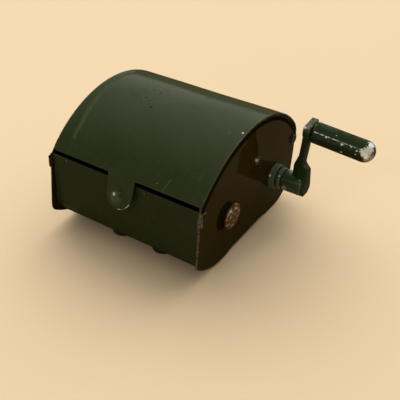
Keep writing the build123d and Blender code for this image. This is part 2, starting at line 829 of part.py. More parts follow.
with BuildPart() as cross_pin:
    with BuildSketch(cross_plane.offset(-hub_r - cross_out)):
        Circle(cross_r)
    extrude(amount=2 * (hub_r + cross_out))
cross_pin.part.label = "cross_pin"
export_step(cross_pin.part, "parts/cross_pin.step")

# -------------------- handle, turning on a headed pin

pin_in, grip_gap = -2.9, 1.2
bush_length = 12.0
pin_head_r, pin_head = 2.5, 1.4
cavity_r, cavity_depth = 3.4, 19.0
pin_end = grip_gap + bush_length + 0.3 + pin_head
with BuildPart() as handle_pin:
    with BuildSketch(handle_axis.offset(pin_in)):
        Circle(pin_r)
    extrude(amount=pin_end - pin_in)
    with BuildSketch(handle_axis.offset(pin_end - pin_head)):
        Circle(pin_head_r)
    extrude(amount=pin_head)
handle_pin.part.label = "handle_pin"
export_step(handle_pin.part, "parts/handle_pin.step")

with BuildPart() as handle:
    with BuildSketch(handle_axis.offset(grip_gap)):
        Circle(handle_r)
    extrude(amount=handle_length - handle_r)
    # domed end
    dome_middle = handle_axis.from_local_coords((0, 0, grip_gap + handle_length - handle_r))
    with BuildSketch(Plane(dome_middle, x_dir=handle_axis.z_dir, z_dir=handle_axis.x_dir)):
        with BuildLine():
            CenterArc((0, 0), handle_r, 0, 90)
            Polyline((0, handle_r), (0, 0), (handle_r, 0))
        make_face()
    revolve(axis=Axis(handle_axis.origin, handle_axis.z_dir))
    with BuildSketch(handle_axis.offset(grip_gap)):
        Circle(cavity_r)
    extrude(amount=cavity_depth, mode=Mode.SUBTRACT)
handle.part.label = "handle"
export_step(handle.part, "parts/handle.step")

with BuildPart() as handle_bush:
    with BuildSketch(handle_axis.offset(grip_gap)):
        Circle(cavity_r)
        Circle(pin_r + play, mode=Mode.SUBTRACT)
    extrude(amount=bush_length)
handle_bush.part.label = "handle_bush"
export_step(handle_bush.part, "parts/handle_bush.step")

# -------------------- rubber feet, each with a hole for a desk screw

foot_lip_r, foot_neck_r = 4.2, 3.1
foot_lip_z, foot_top = 4.6, 5.8
with BuildPart() as rubber_feet:
    with BuildSketch(Plane.XY):
        with GridLocations(2 * foot_x, 2 * foot_y, 2, 2):
            Circle(foot_r)
    extrude(amount=bottom)
    with BuildSketch(Plane.XY.offset(bottom)):
        with GridLocations(2 * foot_x, 2 * foot_y, 2, 2):
            Circle(foot_neck_r)
    extrude(amount=foot_lip_z - bottom)
    with BuildSketch(Plane.XY.offset(foot_lip_z)):
        with GridLocations(2 * foot_x, 2 * foot_y, 2, 2):
            Circle(foot_lip_r)
    extrude(amount=foot_top - foot_lip_z)
    with BuildSketch(Plane.XY):
        with GridLocations(2 * foot_x, 2 * foot_y, 2, 2):
            Circle(screw_r)
    extrude(amount=foot_top, mode=Mode.SUBTRACT)
rubber_feet.part.label = "rubber_feet"
export_step(rubber_feet.part, "parts/rubber_feet.step")
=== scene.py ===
# %% [markdown]
# # A hand-cranked desk pencil sharpener
# A sheet-steel case in dark green enamel, with a rolled lid hinged at the back, a crank on the right
# and the pencil hole on the left. The paint is decades old: pitted on the lid, chipped along its
# edges, and worn to bare metal at the end of the handle.
#
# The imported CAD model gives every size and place. This script reads them, then builds each visible
# piece again as a smooth surface with soft edges, and paints it.

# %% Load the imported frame
import json
import math

import bmesh
import bpy
import numpy as np
from mathutils import Matrix, Vector


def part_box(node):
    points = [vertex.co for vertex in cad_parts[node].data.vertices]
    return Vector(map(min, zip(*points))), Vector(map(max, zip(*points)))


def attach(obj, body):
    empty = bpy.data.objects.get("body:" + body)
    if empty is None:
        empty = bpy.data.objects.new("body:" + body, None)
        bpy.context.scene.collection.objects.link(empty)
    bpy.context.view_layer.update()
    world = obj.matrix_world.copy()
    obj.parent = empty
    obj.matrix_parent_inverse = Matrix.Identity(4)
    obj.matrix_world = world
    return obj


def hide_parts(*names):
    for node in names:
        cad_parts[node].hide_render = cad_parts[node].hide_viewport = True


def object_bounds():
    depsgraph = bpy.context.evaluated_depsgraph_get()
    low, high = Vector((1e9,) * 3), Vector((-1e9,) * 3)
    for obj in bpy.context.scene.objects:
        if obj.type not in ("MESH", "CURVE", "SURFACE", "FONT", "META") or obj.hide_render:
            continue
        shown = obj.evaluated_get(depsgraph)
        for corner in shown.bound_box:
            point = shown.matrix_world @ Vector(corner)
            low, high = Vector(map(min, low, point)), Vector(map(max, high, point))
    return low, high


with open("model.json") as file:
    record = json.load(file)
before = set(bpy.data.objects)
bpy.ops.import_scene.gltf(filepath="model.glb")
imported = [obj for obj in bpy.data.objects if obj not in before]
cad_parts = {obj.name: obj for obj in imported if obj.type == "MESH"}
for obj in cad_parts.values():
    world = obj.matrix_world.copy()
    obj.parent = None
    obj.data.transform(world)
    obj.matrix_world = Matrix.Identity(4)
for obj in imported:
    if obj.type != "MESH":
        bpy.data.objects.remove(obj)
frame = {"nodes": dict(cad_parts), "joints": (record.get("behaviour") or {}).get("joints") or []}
cad_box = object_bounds()
nodes = frame["nodes"]
joints = {j["name"]: j for j in frame["joints"]}
MM = 0.001
print("CAD nodes:", len(nodes), "size in mm:", [round(v / MM, 1) for v in cad_box[1] - cad_box[0]])

# %% [markdown]
# ## Camera
# It looks down on the front right corner. Its place is given in the frame of the object, and its
# direction as two angles and a small roll, so that the view can be read and changed.

# %% Camera
CAMERA_AT = (0.14192, -0.22299, 0.18924)
AZIMUTH, ELEVATION, ROLL = 30.368, 34.936, 3.1236
LENS, SENSOR = 57.6, 36.0


def aim(azimuth, elevation, roll):
    """Camera axes as columns, for a camera that looks along -Z: azimuth turns it round the object
    from the front, elevation lifts it, and roll turns it about its own line of sight, in degrees."""
    a, e, r = (math.radians(v) for v in (azimuth, elevation, roll))
    back = np.array([math.sin(a) * math.cos(e), -math.cos(a) * math.cos(e), math.sin(e)])
    right = np.cross(-back, [0, 0, 1])
    right /= np.linalg.norm(right)
    up = np.cross(right, -back)
    right, up = right * math.cos(r) + up * math.sin(r), up * math.cos(r) - right * math.sin(r)
    return np.stack([right, up, back], axis=1)


def show(made):
    """Put an object in the scene."""
    bpy.context.scene.collection.objects.link(made)
    return made


cam_data = bpy.data.cameras.new("camera")
cam_data.sensor_width = SENSOR
cam_data.lens = LENS
cam = show(bpy.data.objects.new("camera", cam_data))
turn = Matrix(aim(AZIMUTH, ELEVATION, ROLL).tolist()).to_4x4()
cam.matrix_world = Matrix.Translation(CAMERA_AT) @ turn
bpy.context.scene.camera = cam
print("camera at", [round(v, 3) for v in cam.location])

# %% [markdown]
# ## Floor and light
# A plain pale floor in a warm tone. Dark enamel shows little of its own colour and much of what
# stands around it, so the light is a room: even and weak all round, with one broad window behind
# and to the left, low enough for the lid's crown to mirror it. The front and the crank end stay
# dark, as they face away from the window. The window is a smooth lobe of the sky, whose slow fall
# gives the lid its long gradient, and one small soft box in front adds the glints.

# %% Values in a node tree
class Value:
    """A number, vector or colour inside a node tree. Sums of values and numbers make Math nodes."""

    def __init__(self, socket):
        self.socket = socket
        self.tree = socket.id_data

    def __add__(self, other):
        return calc("ADD", self, other)

    def __sub__(self, other):
        return calc("SUBTRACT", self, other)

    def __rsub__(self, other):
        return calc("SUBTRACT", other, self)

    def __mul__(self, other):
        return calc("MULTIPLY", self, other)

    def __truediv__(self, other):
        return calc("DIVIDE", self, other)

    def __rtruediv__(self, other):
        return calc("DIVIDE", other, self)

    def __abs__(self):
        return calc("ABSOLUTE", self)

    __radd__ = __add__
    __rmul__ = __mul__


# %% Node helpers
def fill(socket, value):
    """Link a value to an input socket, or set a plain number or tuple on it."""
    if isinstance(value, Value):
        value.tree.links.new(value.socket, socket)
    else:
        socket.default_value = value


def node(tree, kind, inputs=None, **props):
    """One node of a tree. inputs gives its inputs by name or number, and props its settings."""
    made = tree.nodes.new("ShaderNode" + kind)
    for key, value in props.items():
        setattr(made, key, value)
    for key, value in (inputs or {}).items():
        fill(made.inputs[key], value)
    return made


def add(tree, kind, inputs=None, out=0, **props):
    """The same, but it gives the output called out as a value."""
    return Value(node(tree, kind, inputs, **props).outputs[out])


def tree_of(*values):
    """The node tree of the first of the values that is in one."""
    return next(v.tree for v in values if isinstance(v, Value))


def calc(operation, *values, clamp=False):
    """The result of one Math node."""
    return add(tree_of(*values), "Math", dict(enumerate(values)), operation=operation, use_clamp=clamp)


def vec(operation, a, b, out="Vector"):
    """The result of one Vector Math node."""
    return add(tree_of(a, b), "VectorMath", {0: a, 1: b}, out, operation=operation)


def scaled(vector, times):
    """A vector times a number."""
    return add(vector.tree, "VectorMath", {0: vector, 3: times}, operation="SCALE")


def split(vector):
    """The x, y and z of a vector."""
    return [Value(socket) for socket in node(vector.tree, "SeparateXYZ", {0: vector}).outputs]


def mix(share, a, b):
    """Colour a where share is 0 and b where it is 1."""
    return add(tree_of(share, a, b), "Mix", {0: share, 6: a, 7: b}, 2, data_type="RGBA")


def step(value, low, high):
    """0 at low, 1 at high, and smooth between them."""
    inputs = {"Value": value, "From Min": low, "From Max": high}
    return add(value.tree, "MapRange", inputs, interpolation_type="SMOOTHSTEP")


def shade(colour, times=1.0):
    """A plain colour times a number, or times one number per channel, with its alpha."""
    return (*(np.array(colour[:3]) * times).tolist(), 1.0)


def new_material(name):
    """An empty material and its tree."""
    material = bpy.data.materials.new(name)
    material.use_nodes = True
    material.node_tree.nodes.clear()
    return material, material.node_tree


def principled(tree, inputs):
    """End a material's tree in a Principled shader."""
    node(tree, "OutputMaterial", {"Surface": add(tree, "BsdfPrincipled", inputs)})


# %% Floor
# Its tone wanders a little, and it lies just under the object, so that the two never share a plane.
FLOOR_TONE = (0.80, 0.61, 0.39)
FLOOR_HALF, FLOOR_DROP = 3.0, 0.0002
floor_paint, tree = new_material("floor")
grain = add(tree, "TexNoise", {"Scale": 9.0, "Detail": 3.0}, "Fac")
tone = mix(step(grain, 0.2, 0.8), shade(FLOOR_TONE, 0.97), shade(FLOOR_TONE))
principled(tree, {"Base Color": tone, "Roughness": 0.8, "Specular IOR Level": 0.2})

floor_z = cad_box[0].z - FLOOR_DROP
floor_mesh = bpy.data.meshes.new("floor")
corners = [(x * FLOOR_HALF, y * FLOOR_HALF, floor_z) for x, y in ((-1, -1), (1, -1), (1, 1), (-1, 1))]
floor_mesh.from_pydata(corners, [], [(0, 1, 2, 3)])
floor_mesh.materials.append(floor_paint)
floor = show(bpy.data.objects.new("floor", floor_mesh))
print("floor at z", round(floor_z / MM, 2), "mm")

# %% Sky
# Strength follows the cosine c between a direction and the window: a smooth rise from c = 0.1 to 1.
# Close to the horizon it falls to the even level, as a wall does under a window sill.
EVEN_LEVEL, WINDOW_LEVEL = 0.32, 2.5
WINDOW_WAY = (-0.464, 0.803, 0.375)
SILL_LOW, SILL_HIGH = 0.10, 0.19
world = bpy.data.worlds.new("sky")
world.use_nodes = True
bpy.context.scene.world = world
sky = world.node_tree
sky.nodes.clear()
way = add(sky, "TexCoord", out="Generated")
window = step(vec("DOT_PRODUCT", way, WINDOW_WAY, "Value"), 0.1, 1.0)
window = window * step(split(way)[2], SILL_LOW, SILL_HIGH)
strength = window * WINDOW_LEVEL + EVEN_LEVEL
light = add(sky, "Background", {"Color": (1.0, 0.985, 0.94, 1), "Strength": strength})
node(sky, "OutputWorld", {"Surface": light})

# %% Soft box
# In front and above, weak on flat paint but bright enough to be mirrored: it draws the thin line
# along the grip and the glints on domes and worn edges.
BOX_AT, BOX_SIDE, BOX_RADIANCE = (-0.20, -1.00, 0.66), 0.16, 16.0
lamp = bpy.data.lights.new("soft box", "AREA")
lamp.shape = "SQUARE"
lamp.size = BOX_SIDE
lamp.energy = BOX_RADIANCE * math.pi * BOX_SIDE**2
lamp.color = (1.0, 0.97, 0.92)
soft_box = show(bpy.data.objects.new("soft box", lamp))
soft_box.location = BOX_AT
soft_box.rotation_euler = (-Vector(BOX_AT)).to_track_quat("-Z", "Y").to_euler()
bpy.context.scene.view_settings.view_transform = "Standard"
print("soft box of", BOX_SIDE, "m, window towards", WINDOW_WAY)

# %% [markdown]
# ## How the pieces are made
# Stamped sheet is a thin skin with a rounded edge, and turned parts are a profile carried round an
# axis. Both are grids of points that numpy works out in one go. Each grid also stores how far every
# point lies from the nearest edge, because old enamel goes first along the edges and the paint
# needs to know where they are. All sizes below are in millimetres until the mesh is written.

# %% Points and faces
def box_mm(cad_node):
    """Lowest and highest corner of a CAD node, in millimetres."""
    low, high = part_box(cad_node)
    return np.array(low) / MM, np.array(high) / MM


def unit(v):
    """Vectors scaled to length 1, along the last axis."""
    return v / np.linalg.norm(v, axis=-1, keepdims=True)


def ramp(v):
    """v cut off below 0 and above 1."""
    return np.clip(v, 0, 1)


def grid_points(x, y, z):
    """Three grids of coordinates as one list of points."""
    return np.stack([x, y, z], axis=-1).reshape(-1, 3)


def quads(rows, columns, across=False):
    """Corner numbers of the faces of a grid, row by row; across also joins the last column to the
    first."""
    at = np.arange(rows * columns).reshape(rows, columns)
    if across:
        at = np.concatenate([at, at[:, :1]], axis=1)
    return np.stack([at[:-1, :-1], at[:-1, 1:], at[1:, 1:], at[1:, :-1]], axis=-1).reshape(-1, 4)


def joined(parts):
    """Several (points, faces, rim) shells as one."""
    starts = np.cumsum([0] + [len(p) for p, _, _ in parts[:-1]])
    return (
        np.concatenate([p for p, _, _ in parts]),
        np.concatenate([f + s for (_, f, _), s in zip(parts, starts)]),
        np.concatenate([np.ravel(r) for _, _, r in parts]),
    )


# %% From points to a piece in its place
MERGE, COLLAPSE = 1e-7, 1e-8  # in metres: closer points are one, and shorter edges are dropped


def write_mesh(name, points, faces, rim, outward=True):
    """A mesh from points in millimetres. Points that coincide are merged, so poles and joints
    close. outward turns all faces of a closed shell outwards."""
    mesh = bpy.data.meshes.new(name)
    mesh.from_pydata((np.asarray(points, float) * MM).tolist(), [], faces.tolist())
    edge = mesh.attributes.new("rim", "FLOAT", "POINT")
    edge.data.foreach_set("value", np.ravel(rim).astype(np.float32))
    work = bmesh.new()
    work.from_mesh(mesh)
    loose = [v for v in work.verts if not v.link_faces]
    bmesh.ops.delete(work, geom=loose, context="VERTS")
    bmesh.ops.remove_doubles(work, verts=work.verts, dist=MERGE)
    bmesh.ops.dissolve_degenerate(work, edges=work.edges, dist=COLLAPSE)
    if outward:
        bmesh.ops.recalc_face_normals(work, faces=work.faces)
    work.to_mesh(mesh)
    work.free()
    return mesh


def place(name, mesh, finish, body, stands_for=(), sharp=40.0):
    """The finished object on its body, smooth but for edges sharper than sharp degrees. finish names
    its material, and stands_for the CAD nodes that it replaces."""
    mesh.shade_smooth()
    mesh.set_sharp_from_angle(angle=math.radians(sharp))
    made = show(bpy.data.objects.new(name, mesh))
    mesh.materials.clear()
    mesh.materials.append(FINISH[finish])
    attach(made, body)
    if stands_for:
        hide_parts(*stands_for)
    print(f"{name}: {len(mesh.polygons)} faces, {len(mesh.vertices)} points")
    return made


def build(name, shell, *where, outward=True, **how):
    """An object from a shell of (points, faces, rim); where and how are passed on to place."""
    return place(name, write_mesh(name, *shell, outward=outward), *where, **how)


def modify(piece, kind, **settings):
    """Give an object a modifier with these settings."""
    made = piece.modifiers.new(kind.lower(), kind)
    for key, value in settings.items():
        setattr(made, key, value)


# %% Profiles
def arc(centre, radius, start, stop, count=24):
    """Points on a circle from angle start to stop, in degrees."""
    t = np.radians(np.linspace(start, stop, count))
    return np.stack([centre[0] + radius * np.cos(t), centre[1] + radius * np.sin(t)], axis=1)


def soften(corners, radii, steps=5, closed=False):
    """A polyline with rounded corners: each is cut back by the same length along both sides, and a
    quadratic curve with the corner as its middle control point joins the cuts."""
    points = np.asarray(corners, float)
    radii = np.broadcast_to(np.asarray(radii, float), len(points))
    t = np.linspace(0, 1, steps)[:, None]
    out = []
    for i, (here, cut) in enumerate(zip(points, radii)):
        if cut <= 0 or (not closed and i in (0, len(points) - 1)):
            out.append(here[None])
            continue
        before, after = points[i - 1] - here, points[(i + 1) % len(points)] - here
        size = [np.linalg.norm(before), np.linalg.norm(after)]
        cut = min(cut, 0.5 * size[0], 0.5 * size[1])
        a, b = here + before / size[0] * cut, here + after / size[1] * cut
        out.append((1 - t) ** 2 * a + 2 * t * (1 - t) * here + t**2 * b)
    return np.concatenate(out)


def run_of(line):
    """How far each point of a polyline lies along it."""
    return np.concatenate([[0], np.cumsum(np.linalg.norm(np.diff(line, axis=0), axis=1))])


def spread(outline, count):
    """count points at even steps along a closed outline."""
    loop = np.concatenate([outline, outline[:1]])
    length = run_of(loop)
    at = np.linspace(0, length[-1], count, endpoint=False)
    return np.stack([np.interp(at, length, loop[:, k]) for k in (0, 1)], axis=1)


# %% Stamped shapes
FACE_RINGS = (0, 0.4, 0.75, 0.9, 0.96, 0.985)  # sizes of the rings across a stamping's face


def inwards(outline):
    """Unit normals of an anticlockwise closed outline, to its inside."""
    along = unit(np.roll(outline, -1, axis=0) - np.roll(outline, 1, axis=0))
    return np.stack([-along[:, 1], along[:, 0]], axis=1)


def prism(outline, low, high, fillet, count=240, middle=None, shrink=FACE_RINGS):
    """A stamping: an outline in y and z between x = low and x = high, as a stack of closed rings.
    Over an edge, at the angle t of a quarter circle, the ring lies fillet * (1 - sin t) inside the
    outline and fillet * (1 - cos t) below the face. Across a face the first of these rings shrinks
    about the middle. The rim value is the distance to the outline."""
    edge = spread(outline, count)
    area = np.sum(edge[:, 0] * np.roll(edge[:, 1], -1) - edge[:, 1] * np.roll(edge[:, 0], -1))
    if area < 0:
        edge = edge[::-1]
    normal = inwards(edge)
    middle = edge.mean(0) if middle is None else np.asarray(middle, float)
    half = [(middle + (edge + normal * fillet - middle) * k, 0.0) for k in shrink]
    for t in np.radians(np.linspace(0, 90, 5)):
        half.append((edge + normal * fillet * (1 - math.sin(t)), fillet * (1 - math.cos(t))))
    rim = [np.linalg.norm(ring[:, None] - edge[None], axis=2).min(1) for ring, _ in half]
    stack = [(ring, high - drop) for ring, drop in half]
    stack += [(ring, low + drop) for ring, drop in half[::-1]]
    rings = np.stack([np.column_stack([np.full(len(ring), x), ring]) for ring, x in stack])
    return rings.reshape(-1, 3), quads(*rings.shape[:2], across=True), np.concatenate(rim + rim[::-1])


# %% Turned shapes
NO_EDGE = 9.0  # the rim value where no edge is near, in millimetres


def axes_of(direction):
    """A direction as a unit vector, and two more that are square to it and to each other."""
    d = unit(np.asarray(direction, float))
    side = unit(np.cross(d, [0, 0, 1.0] if abs(d[2]) < 0.9 else [0, 1.0, 0]))
    return d, side, np.cross(d, side)


def turned(profile, origin, direction=(1, 0, 0), count=96, corners=()):
    """A turned part: a profile of (distance along the axis, radius) carried round the axis through
    origin. The rim value is the distance along the profile to the nearest of the given corners."""
    profile = np.asarray(profile, float)
    d, side, up = axes_of(direction)
    t = np.linspace(0, 2 * np.pi, count, endpoint=False)
    spoke = np.cos(t)[:, None] * side + np.sin(t)[:, None] * up
    rings = np.asarray(origin, float) + profile[:, None, :1] * d + profile[:, None, 1:] * spoke[None]
    if len(corners):
        gap = np.linalg.norm(profile[:, None] - np.asarray(corners, float)[None], axis=2).min(1)
    else:
        gap = np.full(len(profile), NO_EDGE)
    return rings.reshape(-1, 3), quads(len(profile), count, across=True), np.repeat(gap, count)


def fine(profile, pitch=0.5):
    """The same open profile with points added, so that no step along it is longer than pitch."""
    profile = np.asarray(profile, float)
    length = run_of(profile)
    count = np.maximum(1, np.ceil(np.diff(length) / pitch).astype(int))
    at = np.concatenate(
        [np.linspace(a, b, n, endpoint=False) for a, b, n in zip(length[:-1], length[1:], count)]
        + [length[-1:]]
    )
    return np.stack([np.interp(at, length, profile[:, k]) for k in (0, 1)], axis=1)


# %% [markdown]
# ## What age does to paint
# Five effects serve nearly every painted piece, so each is a node group made once. All of them work
# in millimetres on Object coordinates, which travel with a piece when it swings or turns. A group
# puts out a mask only, and each material decides what lies under the mask. A group is written as a
# function of its inputs, and the same name then places it in a material.

# %% Noise and masks
def in_mm(tree):
    """Object coordinates in millimetres."""
    return scaled(add(tree, "TexCoord", out="Object"), 1 / MM)


def noise(at, scale, detail, roughness=0.5, out="Fac"):
    """Smooth noise from 0 to 1 with scale lumps to the millimetre."""
    inputs = {"Vector": at, "Scale": scale, "Detail": detail, "Roughness": roughness}
    return add(at.tree, "TexNoise", inputs, out)


def cloud(at, size, detail, roughness=0.55, shift=(0, 0, 0)):
    """Noise whose lumps are about size millimetres wide; shift keeps two clouds from matching."""
    moved = add(at.tree, "Mapping", {"Vector": at, "Location": shift})
    return noise(moved, 1 / size, detail, roughness)


def either(*masks):
    """The largest of several masks."""
    out = masks[0]
    for other in masks[1:]:
        out = calc("MAXIMUM", out, other)
    return out


def mask_group(name, **inputs):
    """Turns a formula for one mask into a shader group. inputs are the group's sockets with their
    usual values, None for a vector, and At, the first, is the point."""

    def make(formula):
        group = bpy.data.node_groups.new(name, "ShaderNodeTree")
        for label, value in inputs.items():
            kind = "NodeSocketVector" if value is None else "NodeSocketFloat"
            socket = group.interface.new_socket(label, in_out="INPUT", socket_type=kind)
            if value is not None:
                socket.default_value = value
        group.interface.new_socket("Mask", in_out="OUTPUT", socket_type="NodeSocketFloat")
        entry = group.nodes.new("NodeGroupInput")
        leave = group.nodes.new("NodeGroupOutput")
        fill(leave.inputs["Mask"], formula(*[Value(entry.outputs[label]) for label in inputs]))

        def placed(at, **values):
            return add(at.tree, "Group", {"At": at, **values}, node_tree=group)

        return placed

    return make


# %% Five groups
@mask_group("worn edge", At=None, Rim=9.0, Reach=0.5, Size=2.0, Missing=0.5)
def worn_edge(at, rim, reach, size, missing):
    """Rim is the distance to the nearest edge. Where a noise is high, the mask reaches in from the
    edge by Reach, and where it is low it stays off: a broken line, as on an edge often handled."""
    high = (noise(at, 1.0 / size, 4.0) - (missing * 0.35 + 0.3)) * 4.0
    return step(high * reach - rim, -0.04, 0.08)


@mask_group("pits", At=None, Spacing=3.0, Share=0.2, Size=0.2)
def pits(at, spacing, share, size):
    """Rust starts under the paint at points. A cell noise gives one point to each cell; Share is how
    many of the cells hold a pit, and Size its radius as a share of Spacing."""
    ragged = noise(at, 1.7, 2.0, out="Color")
    bent = vec("ADD", scaled(vec("SUBTRACT", ragged, (0.5, 0.5, 0.5)), 0.9), at)
    cell = node(at.tree, "TexVoronoi", {"Vector": bent, "Scale": 1.0 / spacing})
    draw = split(Value(cell.outputs["Color"]))
    depth = size * (draw[1] * 0.8 + 0.4) - Value(cell.outputs["Distance"])
    return step(depth, -0.02, 0.04) * calc("LESS_THAN", draw[0], share)


@mask_group("scratches", At=None, Turn=None, Width=0.01, Share=0.5)
def scratches(at, turn, width, share):
    """A noise drawn out along one direction has long level lines. The mask is the narrow band around
    one level, only where a second, broad noise is high."""
    drawn_out = add(at.tree, "Mapping", {"Vector": at, "Rotation": turn, "Scale": (0.03, 1.3, 1.3)})
    off = abs(noise(drawn_out, 0.8, 2.0, 0.4) - 0.52)
    here = step(noise(at, 0.09, 2.0) - (0.75 - share * 0.4), 0.0, 0.06)
    return here * step(width - off, 0.0, 0.008)


@mask_group("one mark", At=None, Centre=None, Radius=1.0, Soft=0.16)
def mark(at, centre, radius, soft):
    """A single chip, stain or painted glint at a known place: inside Radius of Centre, with a ragged
    outline.
    """
    reach = radius * (noise(at, 2.2, 3.0, 0.65) * 2.2 - 0.1)
    return step((reach - vec("DISTANCE", at, centre, "Value")) / soft, -0.4, 0.6)


@mask_group("line mark", At=None, Start=None, End=None, Width=0.2, Soft=0.1)
def line_mark(at, start, end, width, soft):
    """A scratch, a rubbed crease or a painted highlight line at a known place. The nearest point of
    the segment from Start to End is found by projection, and the mask is a band around it, broken
    up by a noise."""
    along = vec("SUBTRACT", end, start)
    from_start = vec("SUBTRACT", at, start)
    dots = [vec("DOT_PRODUCT", a, along, "Value") for a in (from_start, along)]
    foot = scaled(along, calc("DIVIDE", *dots, clamp=True))
    reach = width * (noise(at, 0.6, 3.0) * 2.4 - 0.6)
    return step((reach - vec("DISTANCE", from_start, foot, "Value")) / soft, -0.5, 0.5)


print("groups:", sorted(g.name for g in bpy.data.node_groups))


# %% Marks at known places
def marks(at, places):
    """One mark for each (centre, radius)."""
    return either(*[mark(at, Centre=c, Radius=r) for c, r in places])


def strokes(at, lines, soft):
    """One line mark for each (start, end, width)."""
    return either(*[line_mark(at, Start=a, End=b, Width=w, Soft=soft) for a, b, w in lines])


def near(at, centre, radius, soft, rag=0.0):
    """1 within radius of centre and 0 further out. rag, a noise in millimetres, moves the border."""
    gap = vec("DISTANCE", at, centre, "Value") + rag
    return step(gap, radius + 0.5 * soft, radius - 0.5 * soft)


def from_line(at, y, z):
    """Distance from the line along x through y and z."""
    return vec("DISTANCE", vec("MULTIPLY", at, (0, 1, 1)), (0, y, z), "Value")


def normal_of(at):
    """The normal of the surface, in the object's own directions."""
    return add(at.tree, "TexCoord", out="Normal")


# %% [markdown]
# ## Enamel
# The case was dipped or sprayed once and stoved: one thick, slightly rippled coat. Old enamel has
# lost most of its clear skin to dust and rubbing, so it mirrors far less than new paint, even along
# a grazing look. A dull base under a thin share of clear coat does that, and a lower specular level
# wouldn't: its reflection still climbs to that of a mirror at a grazing angle. Under the coat lie
# grey-brown steel and rust, which show where the worn edge, pit and mark masks remove it. The masks
# also cut the height, so every chip has a lip.

# %% Colours and masks of the enamel
STEEL_BROWN = (0.16, 0.115, 0.075, 1)
HAND_WORN = (0.30, 0.27, 0.23, 1)
RUST = (0.045, 0.022, 0.010, 1)
DARK_BROWN = (0.085, 0.068, 0.040, 1)
RUBBED = (0.13, 0.15, 0.10, 1)
# the white of new chips and of painted glints and highlights
WHITE_CHIP_AND_GLINT = (0.46, 0.47, 0.43, 1)
WHITE = (0.80, 0.82, 0.76, 1)
BASE_ROUGH, STEEL_ROUGH, HAND_ROUGH = 0.6, 0.42, 0.45
CHIP_DEPTH, HAIR_DEPTH = 0.05, 0.006
MASKS = (
    "chip", "pit", "chip_and_glint", "pale", "light", "dark", "brown_reflection", "brown", "dull", "gloss", "cut", "sound",
)


def bumped(height):
    """The normal bent by a height in millimetres."""
    return add(height.tree, "Bump", {"Height": height, "Distance": MM, "Strength": 1.0})


def rim_of(tree):
    """Distance to the nearest edge, which each mesh stores."""
    return add(tree, "Attribute", out="Fac", attribute_name="rim")


